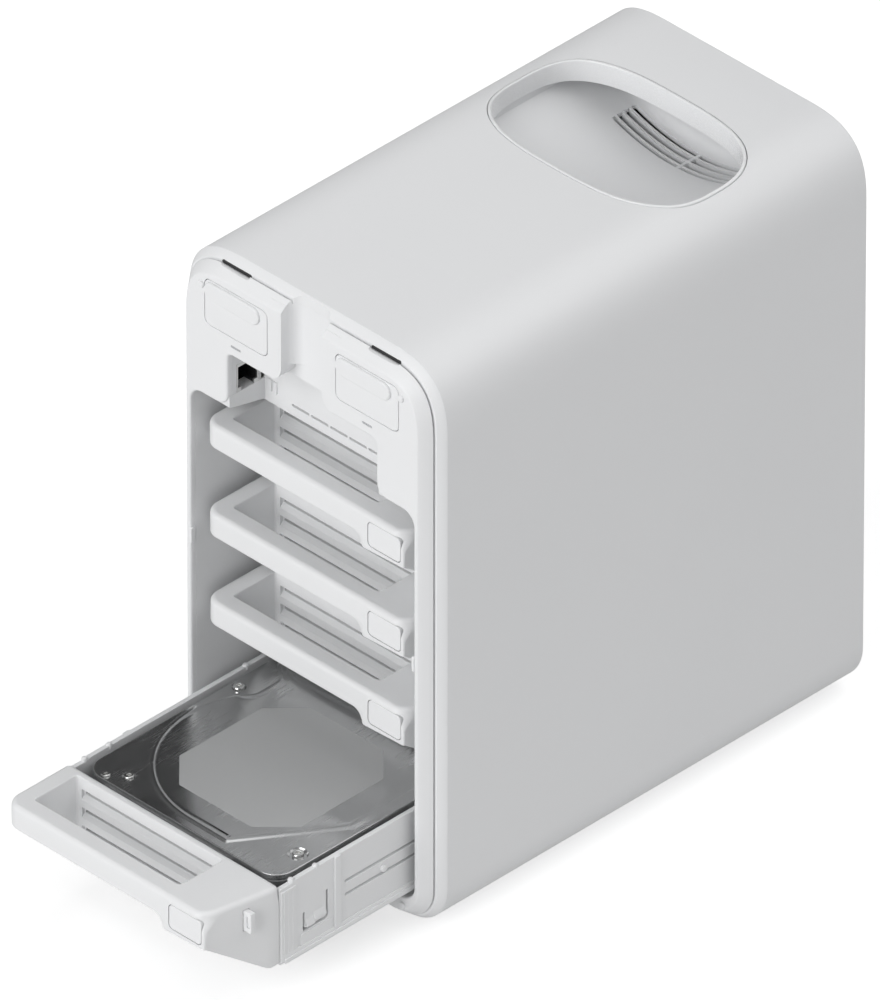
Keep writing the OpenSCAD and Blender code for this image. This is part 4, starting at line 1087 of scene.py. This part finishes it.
class ENCLOSURE_OT_trays(bpy.types.Operator):
    """The four tray handles with their release buttons, springs and latches"""

    bl_idname = "enclosure.trays"
    bl_label = "Tray handles"

    def execute(self, context):
        sizes = context.scene.enclosure_sizes
        edge = sizes.part_edge / MM
        handle = self.handle(sizes.tray_edge / MM)
        x0, z0, x1, z1 = BUTTON
        cx, cz = (x0 + x1) / 2, (z0 + z1) / 2
        button = [slab([rect(x0, z0, x1, z1, 1.9)], -0.05, 3, edge, 0.2),
                  turned([[1.2, 2.9], [1.2, 6.8], [0.9, 6.9]], (cx, 0, cz), "y", 20)]
        latch = self.latch(edge)
        coil = self.coil(cx, cz)
        for n, (low, high) in TRAY_BOXES.items():
            to = {"dy": low[1], "dz": high[2]}
            piece(f"handle_{n}", [moved(handle, **to)], finish("tray_plastic"), f"tray_{n}",
                  [f"tray_{n}_handle"], 32)
            piece(f"button_{n}_cap", [moved(p, **to) for p in button], finish("front_plastic"), f"button_{n}",
                  [f"tray_{n}_button"])
            piece(f"latch_{n}_bolt", [moved(p, **to) for p in latch], finish("front_plastic"), f"latch_{n}",
                  [f"tray_{n}_latch"])
            spring = piece(f"spring_{n}_coil", [moved(coil, **to)], finish("spring_steel"), f"tray_{n}",
                           [f"tray_{n}_spring"])
            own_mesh(spring)
        return {"FINISHED"}

    def handle(self, top_r):
        """The ring cut by four louvres, their air slots, the button's pocket and the latch's slot."""
        cutters = []
        wall = POCKET_Y1
        for z in (-5.1, -13.35, -21.6, -29.85):
            wedge = np.array([[wall - 0.4, z], [wall + 1.7, z], [wall + 1.7, z - 3.1], [wall - 0.4, z - 5.2]])
            cutters.append(slab([wedge[::-1]], POCKET_X0 + 2.5, POCKET_X1 - 4, 0, 0, "yz"))
            through = rect(wall + 1, z - 3.0, BEZEL_D + 1, z - 1.6)
            cutters.append(slab([through], POCKET_X0 + 3.0, POCKET_X1 - 4.5, 0, 0, "yz"))
        x0, z0, x1, z1 = BUTTON
        g = 0.32
        cutters.append(slab([rect(x0 - g, z0 - g, x1 + g, z1 + g, 1.9 + g)], -2, 7, 0, 0))
        cutters.append(turned([[3, 6.5], [3, 10]], ((x0 + x1) / 2, 0, (z0 + z1) / 2), "y", 24))
        mouth = rect(LATCH_BACK - 2.4 - g, LATCH_Z - g, LATCH_BACK + g, LATCH_Z + LATCH_H + g, 0.5, 3)
        cutters.append(slab([mouth], TRAY_HALF - 8, TRAY_HALF + 2, 0, 0, "yz"))
        return cut(tray_body(top_r), cutters)

    def latch(self, edge):
        """The latch's bolt, with a sunk rectangle in the face that looks forward."""
        out, y = TRAY_HALF + 1.5, LATCH_BACK
        face = rect(TRAY_HALF - 3.8, LATCH_Z, out, LATCH_Z + LATCH_H, 0.3, 3)
        dish = rect(out - 2.4, LATCH_Z + 2, out - 0.8, LATCH_Z + LATCH_H - 2, 0.25, 3)
        return [slab([face, hole(dish)], y - 2.4, y - 1.7, edge * 0.8, 0),
                slab([face], y - 1.7, y, 0, edge * 0.8)]

    def coil(self, cx, cz):
        """A round wire swept along a helix: 5 turns of 2.2 mm radius, 6.9 mm long."""
        turns, r, wire, length, y0 = 5, 2.2, 0.28, 6.9, 3.05
        t = np.linspace(0, 2 * np.pi * turns, 150)[:, None]
        a = np.linspace(0, 2 * np.pi, 8, endpoint=False)[None, :]
        q = r + wire * np.cos(a)
        y = y0 + wire + (length - 2 * wire) * t / t[-1] + wire * np.sin(a)
        return grid(np.stack([cx + q * np.cos(t), y + 0 * t, cz + q * np.sin(t)], -1))


class ENCLOSURE_OT_sleds(bpy.types.Operator):
    """The four tray sleds with their grooves, snap tongues, rails and pins"""

    bl_idname = "enclosure.sleds"
    bl_label = "Tray sleds"

    def execute(self, context):
        side = self.side()
        parts = side + [mirrored(p) for p in side] + self.floor()
        for n, (low, high) in TRAY_BOXES.items():
            shifted = [moved(p, dy=low[1], dz=high[2]) for p in parts]
            piece(f"sled_{n}", shifted, finish("tray_plastic"), f"tray_{n}",
                  [f"tray_{n}_sled"])
        return {"FINISHED"}

    def side(self):
        """The right wall in two layers. The outer one has the grooves and both have the U-shaped slit."""
        y0, y1, zb, zt, x = BEZEL_D, BEZEL_D + SLED_L, SLED_BOTTOM, SLED_TOP, TRAY_HALF
        wall = rounded(
            [[y0 + 0.05, zb], [y1, zb], [y1, zt - 3], [y1 - 4, zt], [y0 + 9, zt], [y0 + 7, zt - 0.8],
             [y0 + 0.05, zt - 0.8]],
            [0.3, 1, 1, 1, 1.5, 1.5, 0.3], 3)
        u0, u1, ub, ut, slit = y0 + 12.1, y0 + 25.2, -27.4, -14.2, 1.0
        tongue = rounded([[u0, ub], [u1, ub], [u1, ut], [u1 - slit, ut], [u1 - slit, ub + slit + 0.3],
                          [u0 + slit, ub + slit + 0.3], [u0 + slit, ut - 4.5], [u0, ut - 4.5]],
                         [0.9, 1.6, 0.45, 0.45, 1.0, 0.4, 0.45, 0.45], 4)
        grooves = [rect(y0 + 34.1, z - 1.3, y1 - 6, z, 0.6, 4) for z in (-14.9, -21.0)]
        outer = slab([wall, hole(tongue), *[hole(g) for g in grooves]], x, x - 1.4, 0.25, 0, "yz")
        inner = slab([wall, hole(tongue)], x - 1.4, x - 2, 0, 0.2, "yz")
        parts = [outer, inner]

        def plate(outline, proud, sunk, edge):
            """A plate on the wall's outer face, proud by one length and sunk by another."""
            parts.append(slab([outline], x + proud, x - sunk, edge, 0, "yz"))

        def rail(low, high, proud, start, end):
            """A rail along the foot."""
            parts.append(slab([rect(x - 0.5, low, x + proud, high, 0.25, 2)], start, end, 0.2, 0.2, "xz"))

        # Collar behind the handle, upright ribs, the rib behind the tongue
        plate(rect(y0 + 0.5, zb + 3.4, y0 + 8.6, zt - 2.4, 0.4), 0.45, 0.5, 0.3)
        for y in (y0 + 2.2, y0 + 4.4, y0 + 6.6):
            plate(rect(y - 0.25, zb + 4, y + 0.25, zt - 3, 0.2, 2), 0.6, -0.2, 0.1)
        plate(rect(y0 + 28.3, zb + 2.6, y0 + 31.6, zt - 0.05, 0.5), 0.75, 0.5, 0.35)
        # Raised frame round the tongue's foot
        plate(rect(u0 - 1.6, zb + 3.4, u1 + 1.8, ub - 0.6, 0.5), 0.3, 0.4, 0.2)
        # The wedge on the tongue, thickest at its lower edge, with a step half-way along
        for a, b, rise in ((13.4, 17.6, 0.0), (17.6, 23.6, 1.3)):
            wedge = np.array([[x - 0.3, -21.6], [x - 0.3, -25.8], [x + 0.9, -25.5], [x + 0.9, -24.6]])
            parts.append(slab([wedge + [0, rise]], y0 + a, y0 + b, 0.1, 0.1, "xz"))
        # Two-step rail along the foot
        rail(zb, zb + 2.2, 1.0, y0 + 2, y1)
        rail(zb + 1.0, zb + 3.7, 0.55, y0 + 0.6, y1 - 0.5)
        # Guide bump with a domed cap
        dome = [[1.45, -0.3], [1.45, 0.7], [1.25, 1.05], [0.7, 1.25], [0.1, 1.3]]
        parts.append(turned(dome, (x, y0 + 53.8, -19.3), "x", 24))
        # Ledge under the drive, and the pins in its side holes
        parts.append(slab([rect(49, -29.0, x - 1.9, -27.4)], y0, y1, 0.2, 0.2, "xz"))
        pin = [[1.2, -3.6], [1.45, -3.2], [1.45, 0]]
        parts += [turned(pin, (x - 1, DRIVE_SET + y, PIN_Z), "x", 16) for y in PIN_YS]
        # Snap bumps on the upper edge
        for y in (y0 + 6.8, y0 + 19.5, y0 + 91.0):
            parts.append(turned([[1.2, -1.5], [1.2, 0.2], [0.9, 0.7], [0.1, 0.9]], (x - 1.1, y, zt), "z", 18))
        return parts

    def floor(self):
        """The open frame between the two walls, with a cross bar."""
        y0, y1, zb, x = BEZEL_D, BEZEL_D + SLED_L, SLED_BOTTOM, TRAY_HALF - 0.5
        plan = [rect(-x, y0 + 0.3, x, y1, 1), hole(rect(-42, y0 + 16, 42, y0 + 76, 5)),
                hole(rect(-42, y0 + 84, 42, y1 - 8, 5))]
        parts = [slab(plan, zb, zb + 1.6, 0.3, 0.3, "xy")]
        bar = rect(-TRAY_HALF + 1, zb + 1, TRAY_HALF - 1, -29.5, 1)
        parts.append(slab([bar], y0 + 0.2, y0 + 2.2, 0.2, 0.2, "xz"))
        return parts


def lid_contour():
    """The raised field on a drive's lid: round the platter, a straight lead to the front corner, a slant
    to the right side, and a wave round the screw on the left."""
    cy = DRIVE_SET + 53
    r = 49.6
    a = np.radians(np.linspace(208, 270, 40))[:, None]
    arc = np.concatenate([r * np.cos(a), cy + r * np.sin(a)], 1)
    start = r * np.cos(np.radians(208)), cy + r * np.sin(np.radians(208))
    left = super_arc(0, cy, r, r, 2, 155, 208, 30)
    near = rounded(
        [arc[-1], [20.5, cy - r], [48.1, DRIVE_SET + 43.4], [48.1, DRIVE_SET + 124], [-47.6, DRIVE_SET + 124],
         [-47.6, DRIVE_SET + 97.5], [-39.0, DRIVE_SET + 90.5], [-39.0, DRIVE_SET + 76.5], left[0]],
        [0, 2.6, 5, 7, 7, 5, 6, 6, 0], 8)
    return np.concatenate([near[1:-1], left[:-1], arc[:-1]])


class ENCLOSURE_OT_drives(bpy.types.Operator):
    """The four drives: cast body, pressed lid, screws and blank label"""

    bl_idname = "enclosure.drives"
    bl_label = "Drives"

    def execute(self, context):
        body, lid, screws, label = self.body(), self.lid(), self.screws(), self.label()
        for n, (low, high) in TRAY_BOXES.items():
            to = {"dy": low[1], "dz": high[2]}
            piece(f"drive_{n}_case", [moved(p, **to) for p in body], finish("drive_casting"), f"tray_{n}",
                  [f"drive_{n}_body"])
            piece(f"drive_{n}_lid", [moved(p, **to) for p in lid], finish("drive_lid"), f"tray_{n}",
                  [f"drive_{n}_cover"], 45)
            piece(f"drive_{n}_screws", [moved(p, **to) for p in screws], finish("bright_steel"), f"tray_{n}")
            piece(f"drive_{n}_label", [moved(label, **to)], finish("label"), f"tray_{n}")
        return {"FINISHED"}

    def plan(self, inset):
        """The drive's plan with its large front corners."""
        y0, y1, x = DRIVE_SET, DRIVE_SET + DRIVE_L, DRIVE_HALF
        return rounded([[-x + inset, y0 + inset], [x - inset, y0 + inset], [x - inset, y1 - inset],
                        [-x + inset, y1 - inset]], [8.5, 8.5, 3, 3], 10)

    def body(self):
        """The casting with a stepped foot and the recess in its underside where the board sits; the board
        itself is not drawn.
        """
        y0, y1, x = DRIVE_SET, DRIVE_SET + DRIVE_L, DRIVE_HALF
        case = slab([self.plan(0)], -27.4, LID_Z, 0.8, 0.5, "xy")
        cutters = [slab([rect(-x + 4, y0 + 30, x - 4, y1 - 8, 4)], -29, -26.2, 0, 0, "xy"),
                   slab([rect(-46.5, y1 - 6, -3.5, y1 + 2)], -29, -19.9, 0, 0, "xy")]
        bores = [turned([[1.5, -4], [1.5, 1]], (x, y0 + y, PIN_Z), "x", 16) for y in PIN_YS]
        return [cut(case, [*cutters, *bores, *[mirrored(b) for b in bores]])]

    def lid(self):
        """The lid's plate and its raised field, whose step is a soft rise with a ridge along its top."""
        dishes = []
        for px, py, r, _ in SCREWS:
            rows = [[r - 1.0, -1.1], [r - 0.5, -0.5], [r, 0.3]]
            dishes.append(turned(rows, (px, DRIVE_SET + py, LID_TOP), "z", 32))
        plate = cut(slab([self.plan(0.15)], LID_Z, LID_TOP, 0.1, 0.35, "xy"), dishes)
        s = np.linspace(0, 1, 9)
        rise = LID_TOP + (LID_FACE - LID_TOP) * smooth(s)
        ridge = [[2.3 * a, z + 0.16 * np.sin(np.pi * a)] for a, z in zip(s, rise)]
        rows = [[0.3, LID_TOP - 0.3], [0, LID_TOP - 0.1], *ridge, [2.9, LID_FACE - 0.18],
                [3.5, LID_FACE - 0.12], [4.2, LID_FACE - 0.02], [4.4, LID_FACE]]
        return [plate, walls([(lid_contour(), rows)], "xy")]

    def screws(self):
        """Pan heads with a six-lobed socket, each proud of its dish."""
        parts = []
        lobes = np.linspace(0, 2 * np.pi, 48, endpoint=False)
        for px, py, _, r in SCREWS:
            head = np.stack([r * np.cos(lobes), r * np.sin(lobes)], 1)
            socket = 1 + 0.16 * np.cos(6 * lobes)
            well = np.stack([0.42 * r * socket * np.cos(lobes), 0.42 * r * socket * np.sin(lobes)], 1)
            h = 0.75
            rings = [(head * 0.9, -1.2), (head, -1.0), (head, h - 0.35), (head * 0.93, h - 0.1),
                     (head * 0.8, h), (well * 1.08, h), (well, h - 0.1), (well * 0.95, h - 0.9)]
            stack = [np.column_stack([q + [px, DRIVE_SET + py], np.full(48, LID_TOP + z)]) for q, z in rings]
            parts.append(grid(np.stack(stack)))
        return parts

    def label(self):
        """A thin sheet with clipped corners on the raised field."""
        y0 = DRIVE_SET + 17
        clip = 13
        x0, x1, y1 = -30.5, 33.5, y0 + 69
        sheet = rounded([[x0, y0 + clip], [x0 + clip, y0], [x1 - clip, y0], [x1, y0 + clip], [x1, y1 - clip],
                         [x1 - clip, y1], [x0 + clip, y1], [x0, y1 - clip]], 1.5, 3)
        return slab([sheet], LID_FACE - 0.1, LID_FACE + 0.07, 0, 0.03, "xy")


class ENCLOSURE_OT_back(bpy.types.Operator):
    """The rear panel with its display window and air slots, and the foot"""

    bl_idname = "enclosure.back"
    bl_label = "Rear panel and foot"

    def execute(self, context):
        loop = body_outline()
        inset = WALL + 0.3
        rows = [[inset + 1.2, Y_BACK]] + [[inset + d, Y_BACK - h] for d, h in quarter(1.0)]
        rows += [[inset, Y_BACK - 8], [6, Y_BACK - 8], [6, Y_BACK - 3], [7, Y_BACK - 3]]
        loops = [(loop, rows)]
        for i in range(-3, 4):
            slot = hole(rect(i * 14 - 3, 12, i * 14 + 3, 30, 2.9, 8))
            loops.append((slot, edge_rows(Y_BACK, Y_BACK - 3, 0.5, 0)))
        recess = slab([rect(-18.3, 196.7, 18.3, 226.3, 4)], Y_BACK - 1.25, Y_BACK + 3, 0, 0)
        panel = cut(walls(loops, "xz"), [recess])
        piece("rear_panel", [panel], finish("front_plastic"), "enclosure", ["far_panel"])
        lens = slab([rect(-18, 197, 18, 226, 3.8, 8)], Y_BACK - 0.1, Y_BACK - 1.25, 0.35, 0)
        piece("display_window", [lens], finish("lens_glass"), "enclosure", ["display_lens"])
        foot = [rect(-45, -96, 45, 103, 14, 10), hole(rect(-39, -90, 39, 97, 8, 10))]
        piece("foot_ring", [slab(foot, 0, Z_FOOT + 0.05, 0.5, 0, "xy")], finish("rubber"), "enclosure",
              ["rubber_foot"])
        return {"FINISHED"}


class ENCLOSURE_OT_inside(bpy.types.Operator):
    """The finishes of the cage, boards, fan and other pieces carried over from the frame"""

    bl_idname = "enclosure.inside"
    bl_label = "Inside pieces"

    def execute(self, context):
        slots = {"cage_left": "inner_plastic", "cage_right": "inner_plastic", "cage_top": "steel",
                 "cage_floor": "inner_plastic", "cage_screws": "bright_steel",
                 "backplane_board": "circuit_board", "sata_connectors": "black_plastic",
                 "mainboard": "circuit_board", "heatsink": "steel",
                 "m2_riser": "circuit_board", "m2_guide_rails": "inner_plastic", "fan_frame": "black_plastic",
                 "fan_screws": "steel", "fan_rotor": "black_plastic"}
        for name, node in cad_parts.items():
            if not node.hide_render:
                node.data.materials.clear()
                node.data.materials.append(finish(slots[name]))
        return {"FINISHED"}


class ENCLOSURE_PT_panel(bpy.types.Panel):
    """Lists the steps that build the enclosure's surfaces, with their sizes and colours"""

    bl_idname = "ENCLOSURE_PT_panel"
    bl_label = "Storage enclosure"
    bl_space_type = "VIEW_3D"
    bl_region_type = "UI"
    bl_category = "Enclosure"

    def draw(self, context):
        for group in (context.scene.enclosure_sizes, context.scene.enclosure_colours):
            for name in group.bl_rna.properties.keys():
                if name not in ("rna_type", "name"):
                    self.layout.prop(group, name)
        for step in STEPS:
            self.layout.operator(step.bl_idname)


STEPS = (
    ENCLOSURE_OT_stage, ENCLOSURE_OT_shell, ENCLOSURE_OT_front, ENCLOSURE_OT_ports, ENCLOSURE_OT_handle,
    ENCLOSURE_OT_doors, ENCLOSURE_OT_trays, ENCLOSURE_OT_sleds, ENCLOSURE_OT_drives, ENCLOSURE_OT_back,
    ENCLOSURE_OT_inside,
)
CLASSES = (EnclosureSizes, EnclosureColours, *STEPS, ENCLOSURE_PT_panel)


def register():
    for cls in CLASSES:
        bpy.utils.register_class(cls)
    bpy.types.Scene.enclosure_sizes = PointerProperty(type=EnclosureSizes)
    bpy.types.Scene.enclosure_colours = PointerProperty(type=EnclosureColours)


def unregister():
    del bpy.types.Scene.enclosure_colours
    del bpy.types.Scene.enclosure_sizes
    for cls in reversed(CLASSES):
        bpy.utils.unregister_class(cls)


def main():
    """Builds every piece in order."""
    register()
    for step in STEPS:
        getattr(bpy.ops.enclosure, step.bl_idname.split(".")[1])()


if __name__ == "__main__":
    main()
